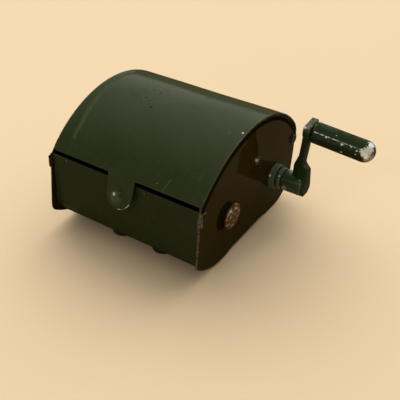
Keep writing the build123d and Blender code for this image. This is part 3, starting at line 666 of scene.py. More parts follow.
# %% Enamel
def enamel(
    name,
    base,
    skin,
    skin_rough,
    own_marks,
    reach=0.5,
    missing=0.5,
    rub=0.35,
    line=0.9,
    pit_share=0.05,
    tint=(0.9, 0.85, 0.6),
    ripple=0.010,
    speck=0.0,
    grit_depth=0.0035,
    chip_and_glint=WHITE_CHIP_AND_GLINT,
    polished=False,
):
    """Aged enamel. base is its colour, skin the share of clear coat that is left and skin_rough its
    roughness, reach how far chips go in from an edge in millimetres and missing how broken their
    line is, rub how strong the lighter rubbed line along an edge is and line how wide, tint the way
    its colour wanders, and speck how much grains of dust break the coat up. polished steel under
    the chips has been rubbed by hands. own_marks(at) gives further masks by name: chip and pit
    remove the paint, and a white mask paints new chips together with painted glints and highlights.
    pale, light, dark, brown and a brown reflection mask change the colour: light is painted light,
    dark is dirt and darker paint on some pieces and painted shade on others, and the brown
    reflection mask is a painted reflection. dull and gloss change the coat, cut darkens the
    sideways edge faces of a sheet as painted shade and keeps the rubbed line and chips off them,
    and sound keeps the rubbed line and chips away."""
    material, tree = new_material(name)
    at, rim = in_mm(tree), rim_of(tree)
    own = {**dict.fromkeys(MASKS, rim * 0.0), **own_marks(at)}
    broad = cloud(at, 22.0, 3.0)
    small = cloud(at, 2.4, 4.0, shift=(3, 7, 1))
    grit = cloud(at, 0.45, 2.0, shift=(9, 2, 4))
    lighter = tuple(1.35 * b + 0.004 for b in base) + (1,)
    colour = mix(step(broad, 0.3, 0.7), shade(base, tint), shade(base))
    for share, tone in (
        (step(small, 0.5, 0.8) * 0.55, lighter),
        # a painted reflection, brown
        (own["brown_reflection"], shade(base, (1.4, 0.8, 0.85))),
        # darker: dirt and darker paint on some pieces, painted shade on others
        (own["dark"], shade(base, 0.35)),
        (own["brown"] * step(small, 0.6, 0.4), DARK_BROWN),
        # painted light
        (own["light"], shade(base, 2.3)),
        (own["pale"], RUBBED),
        # painted shade on the sideways edge faces of the sheet
        (own["cut"], shade(base, 0.2)),
    ):
        colour = mix(share, colour, tone)
    # what takes the paint off: rubbing and chips along the edges, hairlines and pits
    whole = calc("SUBTRACT", 1.0 - own["cut"], own["sound"], clamp=True)
    rubbed = step(rim - small * line, 0.15, -0.35) * rub * whole
    hair = scratches(at, Turn=(0.0, 0.0, 0.9), Width=0.004, Share=0.55)
    chips = either(worn_edge(at, Rim=rim, Reach=reach, Size=1.8, Missing=missing) * whole, own["chip"])
    pit = either(pits(at, Spacing=4.0, Share=pit_share, Size=0.14), own["pit"])
    gone = either(chips, pit)
    rusting = grit * 0.35 if polished else step(small, 0.42, 0.56)
    under = mix(rusting, HAND_WORN if polished else STEEL_BROWN, RUST)
    for share, tone in (
        # new chips in white, together with painted glints and highlights
        (rubbed, RUBBED), (hair * 0.5, RUBBED), (chips, under), (pit, RUST), (own["chip_and_glint"], chip_and_glint),
    ):
        colour = mix(share, colour, tone)
    # the coat: duller in patches, gone in chips, broken up by dust, and faded at a grazing look
    dull = step(small, 0.45, 0.75) * 0.30 + step(broad, 0.4, 0.7) * 0.25 + own["dull"]
    left = calc("SUBTRACT", 1.0, either(dull, gone), clamp=True) * skin * (own["gloss"] + 1.0)
    grains = step(cloud(at, 0.8, 3.0, 0.7, shift=(2, 8, 6)), 0.42, 0.58)
    left = left * (grains * speck + (1.0 - speck))
    away = add(tree, "LayerWeight", {"Blend": 0.5}, "Facing")
    left = left * (1.0 - step(away, 0.70, 0.90) * 0.85)
    rough = dull * 0.5 + BASE_ROUGH
    rough = rough + ((HAND_ROUGH if polished else STEEL_ROUGH) - rough) * gone
    height = (1.0 - gone) * CHIP_DEPTH - hair * HAIR_DEPTH + grit * grit_depth
    height = height + (cloud(at, 1.6, 2.0, shift=(5, 5, 2)) + broad * 14) * ripple
    principled(
        tree,
        {
            "Base Color": colour,
            "Roughness": rough,
            "Metallic": chips * 0.75,
            "Normal": bumped(height),
            "IOR": 1.0,
            "Coat Weight": left,
            "Coat Roughness": skin_rough,
        },
    )
    return material


# %% Sizes of the case
# The section of the case, as in the CAD model: the lid's long arc about the point (ARC_Y, ARC_Z), its
# tight arc above the hinge, and the wrap's front, bottom and back.
SHEET = 0.8
ARC_Y, ARC_Z, ARC_R = -2.1, 2.4, 59.0
REAR_R, KNUCKLE_R, KNUCKLE_HALF = 14.0, 2.6, 37.2
FRONT, BACK, BOTTOM = -45.0, 44.6, 2.8
PANEL_TOP, BACK_TOP = 38.6, 30.5
FRONT_BEND, BACK_BEND = 13.0, 11.0
hinge_at, shaft_at, handle_at = (
    np.array(joints[name]["pos_m"]) / MM for name in ("lid_hinge", "crank_turn", "grip_spin")
)
handle_way = np.array(joints["grip_spin"]["axis"])
right_skin, left_skin = box_mm("right_end_plate")[1][0], box_mm("left_end_plate")[0][0]


def on_lid(x, y):
    """The point of the lid's long arc over x and y."""
    return x, y, ARC_Z + math.sqrt(ARC_R**2 - (y - ARC_Y) ** 2)


# %% [markdown]
# ## Marks of use, and painted light
# Noise alone gives even wear, but use is not even: a lid is scratched where things are put on it,
# and a crank chips where it knocks. So each painted piece also has a few marks at chosen places,
# all of them drawn by the same two groups. Some of these marks are painted light and shade:
# glints, highlights, shadows and a brown reflection. A function for each piece returns its masks
# by name.

# %% Marks of the lid
# Places as (x, y, radius) on the long arc, or as full points on the finger tab.
CROWN_PITS = (
    (-14.5, -13.1, 0.45), (-13.7, -10.4, 0.5), (-11.1, -11.7, 0.35), (-14.5, -2.8, 0.45),
    (-10.3, -3.5, 0.5), (-20.6, -11.0, 0.4), (-7.5, -15.3, 0.8), (-10.3, -9.0, 0.35),
    (9.5, 7.0, 0.5), (8.6, 5.8, 0.4),
)
CROWN_CHIPS = ((37.3, -12.3, 0.55), (32.3, -14.7, 0.25), (16.1, -43.9, 0.22))
CREASE = ((-36.0, 8.0), (-35.4, -8.0), (-33.6, -22.0), (-32.3, -32.0), (-31.8, -39.5))
HAIRLINES = (
    ((19.5, -46.0), (21.3, -41.6), 0.17), ((16.0, -44.0), (20.2, -44.6), 0.12),
    ((32.7, -38.2), (33.5, -34.5), 0.12), ((-4.4, -36.0), (-3.2, -33.5), 0.10),
)
# The first tab chip and the lip along the tab's lower right edge are worn paint and also painted
# glints.
TAB_CHIPS = (((-2.7, -48.7, 33.8), 0.7), ((-1.9, -48.6, 35.0), 0.3))
TAB_PITS = (((0.4, -48.7, 34.3), 0.5), ((1.2, -48.4, 33.7), 0.4))
TAB_LIP = ((5.2, -48.9, 31.2), (3.7, -49.8, 29.0), (0.3, -50.4, 27.8))


def lid_marks(at):
    """What years on a desk left on the lid, with some painted light: pits on its crown, a pale rubbed
    crease along the left, hairline scratches near the front, white chips near the right edge, white
    chips and a white lip on the tab that are also painted glints, and a painted brown reflection
    towards the back. The sideways edge faces of the sheet are darker, as painted shade, and keep
    no rubbed line. Its inside is dark with graphite."""
    few = pits(at, Spacing=2.3, Share=0.38, Size=0.16)
    few = few * mark(at, Centre=on_lid(-13.0, -8.0), Radius=10.0, Soft=5.0)
    specks = pits(at, Spacing=1.3, Share=0.22, Size=0.15)
    specks = specks * mark(at, Centre=on_lid(-9.0, -32.5), Radius=7.0, Soft=6.0)
    crown_pits = marks(at, [(on_lid(x, y), r) for x, y, r in CROWN_PITS])
    chips = marks(at, [(on_lid(x, y), r) for x, y, r in CROWN_CHIPS])
    crease = strokes(at, [(on_lid(*a), on_lid(*b), 1.5) for a, b in zip(CREASE, CREASE[1:])], 1.6)
    hairlines = strokes(at, [(on_lid(*a), on_lid(*b), w) for a, b, w in HAIRLINES], 0.12)
    dome_rub = mark(at, Centre=(-1.8, -48.9, 32.6), Radius=2.9, Soft=2.0)
    lip = strokes(at, [(a, b, 0.42) for a, b in zip(TAB_LIP, TAB_LIP[1:])], 0.25)
    back = split(at)[1]
    drift = cloud(at, 7.0, 4.0) * 6.0 + back
    facing = vec("MULTIPLY", normal_of(at), (0, 1, 1))
    outwards = vec("DOT_PRODUCT", facing, vec("SUBTRACT", at, (0, ARC_Y, ARC_Z)), "Value")
    return {
        "dark": step(outwards, -2.0, -8.0),
        "pit": either(crown_pits, few, marks(at, TAB_PITS)),
        "pale": either(crease * 0.30, hairlines * 0.75, specks * 0.75, dome_rub * 0.30),
        "chip_and_glint": either(chips, marks(at, TAB_CHIPS), lip * 0.9),
        "dull": crease,
        # painted reflection: a brown band towards the back of the lid
        "brown_reflection": step(drift, 12.0, 19.0) * 0.65,
        "sound": step(back, -43.5, -45.2) * 0.85,
        # painted shade: the sideways edge faces of the sheet are darker and keep no rubbed line
        "cut": step(abs(split(normal_of(at))[0]), 0.75, 0.92),
    }


# %% Marks of the case
PANEL_CHIPS = (
    (-34.9, 37.2, 0.4), (-32.5, 37.6, 0.35), (-10.1, 36.9, 0.3), (10.4, 37.0, 0.35), (12.4, 36.3, 0.3),
)


def wrap_marks(at):
    """The front panel: two bright chips by its left corner and dots under its top edge, which the
    lid's overhang has kept from further rubbing."""
    chips = marks(at, [((x, FRONT, z), r) for x, z, r in PANEL_CHIPS])
    return {"chip": chips, "sound": step(split(at)[2], 36.0, 38.0) * 0.75}


def plate_marks(at):
    """The end plates, folded tabs and rivet. On the right plate a painted shadow lies beside the
    bolt's head and painted shade in a band under the lid's overhang, and both dull the coat. The
    band's lower border is an arc about the lid's own centre, but closer to the lid further back. The
    rivet's rim has a painted glint, and the left tabs have kept dark sound paint."""
    x, y, _ = split(at)
    # painted shade in a band under the lid's overhang, and a painted shadow beside the bolt's head
    band = step(from_line(at, ARC_Y, ARC_Z) - y * 0.020, 54.5, 55.1) * step(x, 35.0, 38.0)
    painted_shade = either(near(at, (right_skin, -24.5, 25.4), 6.8, 1.2), band)
    # a painted glint on the rivet's rim
    glint = mark(at, Centre=(38.8, 0.9, 41.2), Radius=0.8)
    return {"dark": painted_shade, "dull": painted_shade, "chip_and_glint": glint, "sound": step(x, -35.0, -38.0)}


# %% Marks of the small parts and the crank
SEAM_X = 41.8
# painted glints on the bush and the collar
BUSH_GLINTS = (((38.9, 17.4, 24.5), 0.65), ((43.3, 18.9, 25.1), 0.4))
CRANK_TOP_BROWN = (((53.4, 19.8, 55.0), 3.2), ((53.4, 24.5, 55.4), 3.6))
CRANK_CHIPS = (((52.4, 18.5, 54.5), 0.8), ((53.6, 20.2, 26.0), 0.65))
# The first line is a worn edge on the eye. The next three, round the hub's end, are a worn edge and a
# painted highlight, and the last, along the hub, is a painted highlight.
CRANK_LINES = (
    ((51.9, 18.2, 54.4), (55.2, 18.2, 54.4), 0.5),
    ((54.5, 21.0, 26.4), (54.5, 18.7, 24.2), 0.35),
    ((54.5, 18.7, 24.2), (54.5, 17.95, 21.0), 0.35),
    ((54.5, 17.95, 21.0), (54.5, 18.6, 19.0), 0.25),
    ((44.8, 18.65, 24.3), (53.3, 18.4, 23.9), 0.24),
)


def small_marks(at):
    """Bush, collar, pin and pencil guide: a painted shadow in the seam where bush and collar meet, two
    painted glints and a slightly worn pin head. The guide on the left has kept its dark paint."""
    x = split(at)[0]
    pin = mark(at, Centre=(46.7, 17.6, 20.1), Radius=1.6) * 0.15
    # painted shadow in the seam between bush and collar
    seam = step(abs(x - SEAM_X), 0.55, 0.3)
    return {"dark": either(seam, step(x, 0.0, -9.0)), "chip_and_glint": either(marks(at, BUSH_GLINTS), pin)}


def crank_marks(at):
    """The crank: its top is brown in patches with a white corner. The hub is painted lighter, as
    painted light, and has a more glossy coat with a bright broken line round its end, a worn edge that
    is also a painted highlight; a pale line along the hub is a painted highlight. The outer face is
    darker, as painted shade, and dull."""
    # painted light: the hub is painted lighter, and its coat more glossy
    hub = step(from_line(at, *shaft_at[1:]), 5.8, 5.5) * step(split(at)[0], 55.0, 54.6)
    # painted shade: the outer face is painted darker
    outer = step(split(normal_of(at))[0], 0.6, 0.9)
    return {
        "brown": marks(at, CRANK_TOP_BROWN),
        "pale": strokes(at, CRANK_LINES, 0.3) * 0.8,
        "chip_and_glint": marks(at, CRANK_CHIPS),
        "light": hub,
        "gloss": hub,
        "dark": outer * 0.7,
        "dull": outer * 0.5,
    }


# %% Marks of the grip
GRIP_BARE = (((82.6, 20.2, 48.9), 2.4), ((82.3, 21.6, 52.6), 1.6), ((81.4, 19.6, 50.6), 2.2))
# painted highlight: a white patch on the bare metal of the dome
GRIP_HIGHLIGHT = (
    ((81.0, 19.0, 51.3), 1.9), ((82.2, 20.6, 52.8), 1.6), ((82.0, 22.9, 53.7), 1.35),
    ((81.8, 19.0, 49.6), 1.3),
)
# small chips, and painted glints where they lie along the highlight line
GRIP_CHIPS = (
    ((62.7, 18.7, 53.0), 0.44), ((70.3, 18.5, 52.0), 0.46), ((70.9, 18.4, 52.3), 0.36),
    ((74.7, 18.7, 52.2), 0.33), ((77.5, 18.4, 51.3), 0.36), ((66.8, 20.3, 54.5), 0.22),
    ((70.8, 18.6, 48.3), 0.32), ((77.3, 18.2, 49.6), 0.26),
)
GRIP_DROOP = 0.066


def grip_marks(at):
    """The grip: the hand has worn the side of the dome that it strikes to bare metal, with a ragged
    border, and a white patch on the bare metal is a painted highlight. Knocks have left a few small
    bright chips, which along the grip's highlight line are also painted glints. Its lower side is
    darker, as painted shade, and its crown and lower side are dull: height above the axis follows
    the droop."""
    x, _, z = split(at)
    rag = cloud(at, 1.1, 5.0, 0.75) * 6.0 - 3.0
    bare, white = (
        either(*[near(at, c, r, 0.4, rag) for c, r in spots]) for spots in (GRIP_BARE, GRIP_HIGHLIGHT)
    )
    high = x * GRIP_DROOP + z
    low = step(high, 56.8, 54.4)
    return {
        "chip": either(bare, pits(at, Spacing=1.2, Share=0.04, Size=0.16)),
        "chip_and_glint": either(white, marks(at, GRIP_CHIPS)),
        # painted shade on the lower side
        "dark": low * 0.45,
        "dull": either(low, step(high, 57.9, 59.3)) * 0.75,
    }


# %% The painted finishes
FINISH = {
    "enamel_lid": enamel(
        "lid enamel", (0.0270, 0.0390, 0.0130), 0.17, 0.16, lid_marks,
        reach=0.35, missing=0.75, rub=0.85, line=0.55, pit_share=0.03,
    ),
    "enamel_body": enamel(
        "body enamel", (0.0190, 0.0270, 0.0090), 0.11, 0.14, wrap_marks,
        reach=0.55, missing=0.55, rub=0.5, pit_share=0.03,
    ),
    # The end plates' brown base colour is partly a painted reflection of a wood floor on their dark
    # enamel.
    "enamel_plate": enamel(
        "end plate enamel", (0.0235, 0.0166, 0.0017), 0.09, 0.05, plate_marks,
        reach=0.7, missing=0.45, rub=0.55, ripple=0.002, tint=(0.8, 0.8, 0.8),
    ),
    "enamel_small": enamel(
        "enamel of small parts", (0.098, 0.128, 0.092), 0.35, 0.22, small_marks,
        missing=0.75, rub=0.2, ripple=0.02, speck=0.6, chip_and_glint=WHITE,
    ),
    "enamel_crank": enamel(
        "crank enamel", (0.0165, 0.0290, 0.0115), 0.45, 0.17, crank_marks,
        reach=0.6, missing=0.65, rub=0.6, pit_share=0.06, ripple=0.02, speck=0.8, grit_depth=0.010,
    ),
    "enamel_handle": enamel(
        "handle enamel", (0.022, 0.034, 0.014), 0.95, 0.12, grip_marks,
        reach=0.6, missing=0.4, rub=0.3, pit_share=0.0, ripple=0.045, speck=0.95, grit_depth=0.030,
        chip_and_glint=WHITE, polished=True,
    ),
}

# %% [markdown]
# ## Bare metals and rubber
# The bolt's head, the nuts and the washers were never painted. Open steel browns in patches, so its
# colour, its roughness and even how metallic it is follow one patchy noise: rust is not a metal. The
# cutters and gears inside stay cleaner, under a film of graphite.

# %% Bare metal
METAL_IOR, DIRT = 1.15, 0.45
BOLT_GLINT = (39.7, -21.5, 26.5)


def metal(name, clean, stain, stain_share, rough, metallic=1.0, patch=2.4, relief=0.02, glint=0.0):
    """Steel or brass with stains. stain_share is about how much of the surface the stain covers,
    patch the size of its patches in millimetres, relief their depth, and glint the radius of a
    painted glint on the bolt's head."""
    material, tree = new_material(name)
    at = in_mm(tree)
    patches = cloud(at, patch, 6.0, 0.65)
    fine_noise = cloud(at, 0.5, 3.0, 0.6)
    border = 0.62 - 0.36 * stain_share
    stained = step(patches - step(rim_of(tree), 0.8, 0.0) * 0.12, border, border + 0.10)
    colour = mix(stained, (*clean, 1), (*stain, 1))
    colour = mix(step(fine_noise, 0.45, 0.7) * 0.5, colour, shade(stain, DIRT))
    # a painted glint, white, on the bolt's head
    if glint:
        colour = mix(mark(at, Centre=BOLT_GLINT, Radius=glint), colour, WHITE_CHIP_AND_GLINT)
    principled(
        tree,
        {
            "Base Color": colour,
            "Roughness": stained * 0.28 + fine_noise * 0.12 + rough,
            "Metallic": stained * (-0.75 * metallic) + metallic,
            "Normal": bumped(patches * relief + fine_noise * (0.4 * relief)),
            "IOR": METAL_IOR,
        },
    )
    return material


FINISH["rusty_steel"] = metal(
    "rusty steel", (0.34, 0.31, 0.23), (0.085, 0.040, 0.012), 0.82, 0.30,
    patch=1.6, relief=0.10, glint=0.8,
)
FINISH["inner_steel"] = metal("inner steel", (0.36, 0.34, 0.31), (0.10, 0.07, 0.045), 0.30, 0.30)
FINISH["brass_washer"] = metal("brass", (0.55, 0.40, 0.15), (0.16, 0.10, 0.04), 0.30, 0.30)
FINISH["cast_grey"] = metal(
    "cast grey", (0.20, 0.195, 0.185), (0.07, 0.062, 0.05), 0.45, 0.42, 0.85, relief=0.05
)
FINISH["cutter_steel"] = metal("cutter steel", (0.42, 0.42, 0.41), (0.13, 0.12, 0.11), 0.25, 0.24)

# %% Rubber
FINISH["foot_rubber"], tree = new_material("foot rubber")
at = in_mm(tree)
principled(
    tree,
    {
        "Base Color": mix(
            step(cloud(at, 2.5, 4.0), 0.4, 0.8), (0.010, 0.009, 0.008, 1), (0.035, 0.030, 0.024, 1)
        ),
        "Roughness": 0.75,
        "Specular IOR Level": 0.2,
        "Normal": bumped(cloud(at, 0.4, 2.0) * 0.03),
    },
)
print("finishes:", ", ".join(sorted(FINISH)))

# %% [markdown]
# ## The lid
# One sheet 0.8 mm thick, rolled to a long arc that tightens to a short one at the back and curls
# round the hinge rod. A finger tab hangs from its front edge. It could be the CAD node with a
# modifier, but a grid of its own can carry the small faults that make old sheet look like sheet: a
# rubbed crease by the left rim, a dome pressed from behind, and a crown that isn't quite true.

# %% Sizes of the lid
LID_FRONT, LID_SINK, LID_LEAST = -45.85, 0.12, 0.02
NOTCH_Z, CURL_END, CREASE_TO = 37.6, -262, -26
TAB_X, TAB_TOP, TAB_FOOT, TAB_LENGTH = -0.5, 7.1, 6.5, 14.8
DOME_X, DOME_DOWN, DOME_R, DOME_HEIGHT = -1.3, 9.4, 3.4, 0.95
lid_half = box_mm("lid")[1][0]
rear_centre = np.array([hinge_at[1] + KNUCKLE_R - REAR_R, hinge_at[2]])
join_angle = math.degrees(math.atan2(rear_centre[1] - ARC_Z, rear_centre[0] - ARC_Y))
front_angle = math.degrees(math.acos((LID_FRONT - ARC_Y) / ARC_R))
print("lid half width", round(lid_half, 2), "arc", round(join_angle, 1), "to", round(front_angle, 1))


# %% Skin of the lid
def sheet_faults(x, s):
    """How far the lid lies inside its true surface at x across and s along: a crease that wanders
    down the left side, and a slightly wavy crown, both fading towards the edges."""
    line = -35.6 + 3.9 * ramp((30 - s) / 26) ** 1.3
    crease = 0.16 * np.exp(-(((x - line) / 1.1) ** 2)) - 0.10 * ramp((line - x) / 3)
    crease = crease * ramp((75 - s) / 15) * ramp(s / 3)
    wave = 0.05 * np.sin(x / 6.1 + 0.7) * np.sin(s / 9.0) + 0.045 * np.sin(x / 11.3 + s / 14.0 + 2.0)
    wave = wave * ramp((lid_half - np.abs(x)) / 4) * ramp(s / 6) * ramp((105 - s) / 12)
    return np.maximum(LID_SINK + crease + wave, LID_LEAST)


def lid_grid():
    """The outer skin. Its rows follow the section from the front edge over both arcs to the end of
    the curl, and its columns run across, closer together over the tab and beside the curl."""
    section = np.concatenate(
        [
            arc((ARC_Y, ARC_Z), ARC_R, front_angle, join_angle, 150),
            arc(rear_centre, REAR_R, join_angle, 0, 28)[1:],
            arc(hinge_at[1:], KNUCKLE_R, 0, CURL_END, 40)[1:],
        ]
    )
    run = run_of(section)
    tab_from, tab_to = TAB_X - TAB_TOP, TAB_X + TAB_TOP
    stops = [-lid_half, -KNUCKLE_HALF, CREASE_TO, tab_from, tab_to, KNUCKLE_HALF, lid_half]
    parts = [np.linspace(a, b, n + 1) for a, b, n in zip(stops, stops[1:], (5, 18, 24, 32, 42, 5))]
    across = np.unique(np.concatenate(parts).round(6))
    x, s = np.meshgrid(across, run)
    slope = unit(np.gradient(section, axis=0))
    fault = sheet_faults(x, s)
    y = section[:, :1] + slope[:, 1:] * fault
    z = section[:, 1:] - slope[:, :1] * fault
    # the two front corners are rounded: a square of the grid is pressed onto a quarter disc
    for side, size in ((-1, 2.0), (1, 0.8)):
        p = ramp((side * x - (lid_half - size)) / size)
        q = ramp((size - s) / size)
        x = x - side * size * p * (1 - np.sqrt(1 - q**2 / 2))
        pull = size * q * (1 - np.sqrt(1 - p**2 / 2))
        y, z = y + slope[:, :1] * pull, z + slope[:, 1:] * pull
    beside_tab = np.clip(TAB_TOP - np.abs(x - TAB_X), 0, NO_EDGE)
    rim = np.minimum(lid_half - np.abs(x), np.hypot(s, beside_tab))
    # beside the curl the sheet ends higher, where it clears the ears of the end plates
    faces = quads(*x.shape)
    notch = run[np.argmax((section[:, 0] > 0) & (section[:, 1] < NOTCH_Z))]
    middle_x, middle_s = np.abs(x.ravel()[faces].mean(1)), s.ravel()[faces].mean(1)
    faces = faces[(middle_x < KNUCKLE_HALF) | (middle_s < notch)]
    return (grid_points(x, y, z), faces, rim), across[np.abs(across - TAB_X) <= TAB_TOP + 1e-6]


# %% Finger tab
def tab_grid(columns):
    """The tab: rows at the distance down from the edge, turned from the arc's slope to nearly
    upright and then outwards. Its half width narrows evenly and then by a half circle, and a low
    dome with a soft foot stands on it."""
    straight = TAB_LENGTH - TAB_FOOT
    down = np.concatenate(
        [
            np.linspace(0, 2.4, 10),
            np.linspace(2.4, straight, 16)[1:],
            straight + TAB_FOOT * np.sin(np.linspace(0, np.pi / 2, 18)[1:]),
        ]
    )
    turns = [front_angle - 90, front_angle - 90, 80, 76, 62]
    pitch = np.radians(np.interp(down, [0, 0.2, 1.4, 6.0, TAB_LENGTH], turns))[:, None]
    row = np.diff(down, prepend=0)[:, None]
    edge = math.radians(front_angle)
    width = np.where(
        down < straight,
        TAB_TOP + (TAB_FOOT - TAB_TOP) * down / straight,
        np.sqrt(np.clip(TAB_FOOT**2 - (down - straight) ** 2, 0, None)),
    )[:, None]
    x = TAB_X + (columns[None] - TAB_X) / TAB_TOP * width
    from_dome = np.hypot(x - DOME_X, down[:, None] - DOME_DOWN)
    ball = (DOME_R**2 + DOME_HEIGHT**2) / (2 * DOME_HEIGHT)
    cap = np.sqrt(np.clip(ball**2 - from_dome**2, 0, None)) - (ball - DOME_HEIGHT)
    foot = 0.22 * np.exp(-(((from_dome - DOME_R) / 0.9) ** 2)) * (from_dome > DOME_R - 0.6)
    lift = np.maximum(np.where(from_dome < DOME_R, cap, 0), foot)
    y = ARC_Y + (ARC_R - LID_SINK) * math.cos(edge) - np.cumsum(row * np.cos(pitch), axis=0)
    z = ARC_Z + (ARC_R - LID_SINK) * math.sin(edge) - np.cumsum(row * np.sin(pitch), axis=0)
    y, z = y - lift * np.sin(pitch), z + lift * np.cos(pitch)
    rim = np.minimum(width - np.abs(x - TAB_X), TAB_LENGTH - down[:, None])
    return grid_points(x, y, z), quads(*x.shape)[:, ::-1], rim


# %% Lid
def thicken(piece, thickness, edge):
    """Give a skin its thickness inwards and a small round along its edges, as modifiers."""
    modify(piece, "SOLIDIFY", thickness=thickness * MM, offset=-1.0, use_quality_normals=True)
    corner = math.radians(60)
    modify(piece, "BEVEL", width=edge * MM, segments=2, limit_method="ANGLE", angle_limit=corner)


lid_skin, tab_columns = lid_grid()
lid_shell = joined([lid_skin, tab_grid(tab_columns)])
lid_sheet = build("lid_sheet", lid_shell, "enamel_lid", "lid", ["lid"], outward=False)
thicken(lid_sheet, SHEET, 0.22)

# %% [markdown]
# ## The wrap
# Front panel, bottom and back are one sheet with two rounded bends. The CAD node has flat facets
# there and perfectly flat panels. A grid that follows the section keeps the bends round, and a wave
# of less than a tenth of a millimetre takes the machined look from the panels. At each end of the
# front panel a tab passes through the end plate and is folded flat, which holds the case together.

# %% Wrap
WRAP_X = (-40.1, 37.5)


def wrap_grid():
    """Rows follow the section down the front, round both bends and up the back; columns run across.
    A slight wave moves the sheet inwards and fades towards its two long edges."""
    bend, back_bend = FRONT + FRONT_BEND, BACK - BACK_BEND
    rows = np.concatenate(
        [
            np.linspace((FRONT, PANEL_TOP), (FRONT, BOTTOM + FRONT_BEND), 46),
            arc((bend, BOTTOM + FRONT_BEND), FRONT_BEND, 180, 270, 26)[1:],
            np.linspace((bend, BOTTOM), (back_bend, BOTTOM), 34)[1:],
            arc((back_bend, BOTTOM + BACK_BEND), BACK_BEND, -90, 0, 22)[1:],
            np.linspace((BACK, BOTTOM + BACK_BEND), (BACK, BACK_TOP), 21)[1:],
        ]
    )
    run = run_of(rows)
    x, s = np.meshgrid(np.linspace(*WRAP_X, 120), run)
    slope = unit(np.gradient(rows, axis=0))
    wave = 0.05 * np.sin(x / 8.0 + 1.0) * np.sin(s / 7.0 + 0.4) + 0.04 * np.sin(x / 14.0 - s / 11.0)
    wave = np.abs(wave) * ramp(s / 4) * ramp((run[-1] - s) / 4)
    y, z = rows[:, :1] - slope[:, 1:] * wave, rows[:, 1:] + slope[:, :1] * wave
    rim = np.minimum(np.minimum(x - WRAP_X[0], WRAP_X[1] - x), np.minimum(s, run[-1] - s))
    return grid_points(x, y, z), quads(*x.shape)[:, ::-1], rim


wrap_sheet = build("wrap_sheet", wrap_grid(), "enamel_body", "case", ["body_wrap"], outward=False)
thicken(wrap_sheet, SHEET, 0.2)


# %% Folded tabs
TAB_LOW, TAB_HIGH, FLAP = 31.4, 38.2, 3.0
LEFT_FLAP_OUT, LEFT_FLAP_CUT, FLAP_GAPS = 1.1, 0.8, (0.5, 0.1)
BACK_TAB_LOW, BACK_TAB_HIGH = 18.0, 25.0
OVERLAP, LEFT_OVERLAP = 0.6, 1.0


def block(front, low, across, fillet, cut=0.25, size=(SHEET, TAB_HIGH - TAB_LOW)):
    """A small plate with rounded corners and edges, from its lowest y and z, its extent along x and
    its size along y and z."""
    back, high = front + size[0], low + size[1]
    outline = soften([(front, low), (back, low), (back, high), (front, high)], cut, 5, closed=True)
    return prism(outline, *across, fillet, count=96, shrink=(0, 0.6, 0.85))


left_out, right_out = left_skin - FLAP_GAPS[0], right_skin + FLAP_GAPS[1]
right_way = (WRAP_X[1] - OVERLAP, right_skin + OVERLAP)
left_way = (left_skin - LEFT_OVERLAP, WRAP_X[0] + OVERLAP)
right_size, left_size = (FLAP, TAB_HIGH - TAB_LOW), (FLAP, TAB_HIGH - TAB_LOW - LEFT_FLAP_CUT)
back_size = (SHEET, BACK_TAB_HIGH - BACK_TAB_LOW)
flaps = [
    block(FRONT, TAB_LOW, (right_out, right_out + SHEET), 0.3, 0.5, right_size),
    block(FRONT, TAB_LOW, right_way, 0.2),
    block(FRONT - LEFT_FLAP_OUT, TAB_LOW, (left_out - SHEET, left_out), 0.3, 0.5, left_size),
    block(FRONT, TAB_LOW, left_way, 0.2),
    block(BACK - SHEET, BACK_TAB_LOW, (right_way[0], right_out), 0.15, size=back_size),
    block(BACK - SHEET, BACK_TAB_LOW, (left_out, left_way[1]), 0.15, size=back_size),
]
build("wrap_tabs", joined(flaps), "enamel_plate", "case", sharp=60)

# %% [markdown]
# ## The end plates
# Each is a flat stamping. Its outline follows the lid just inside its skin, leans forward down the
# front, has a low foot at each end of its straight bottom, and an ear at the hinge. A bevel could
# round the edge of a plain plate, but rings laid inside the outline round it and also tell the
# paint how far every point of the face is from that edge.

# %% End plates
PLATE_LOW, FOOT_RELIEF = 0.4, 1.5
PLATE_BACK, PLATE_CORNER = 44.8, 15.0
EAR_R, EAR_END = 4.2, 72
PLATE_FILLET, PLATE_MIDDLE = 0.22, (2.0, 24.0)
PLATE_RINGS = (0, 0.4, 0.7, 0.88, 0.94, 0.97, 0.99)
# cover, proud, lean and corner, as plate_outline takes them
PLATE_FIT = {"right": (1.3, 0.04, 1.0, 0.6), "left": (2.6, 0.9, 3.5, 3.0)}


def three_point_arc(a, b, c, count):
    """Points of the circle through a, b and c, from a to c. Its middle is where the perpendicular
    bisectors of ab and bc meet."""
    a, b, c = (np.asarray(p, float) for p in (a, b, c))
    sides = np.array([b - a, c - b])
    middle = np.linalg.solve(sides, (sides * np.array([(a + b) / 2, (b + c) / 2])).sum(1))
    angles = np.unwrap([math.atan2(*(p - middle)[::-1]) for p in (a, b, c)])
    t = np.linspace(angles[0], angles[2], count)
    return middle + np.linalg.norm(a - middle) * np.stack([np.cos(t), np.sin(t)], axis=1)


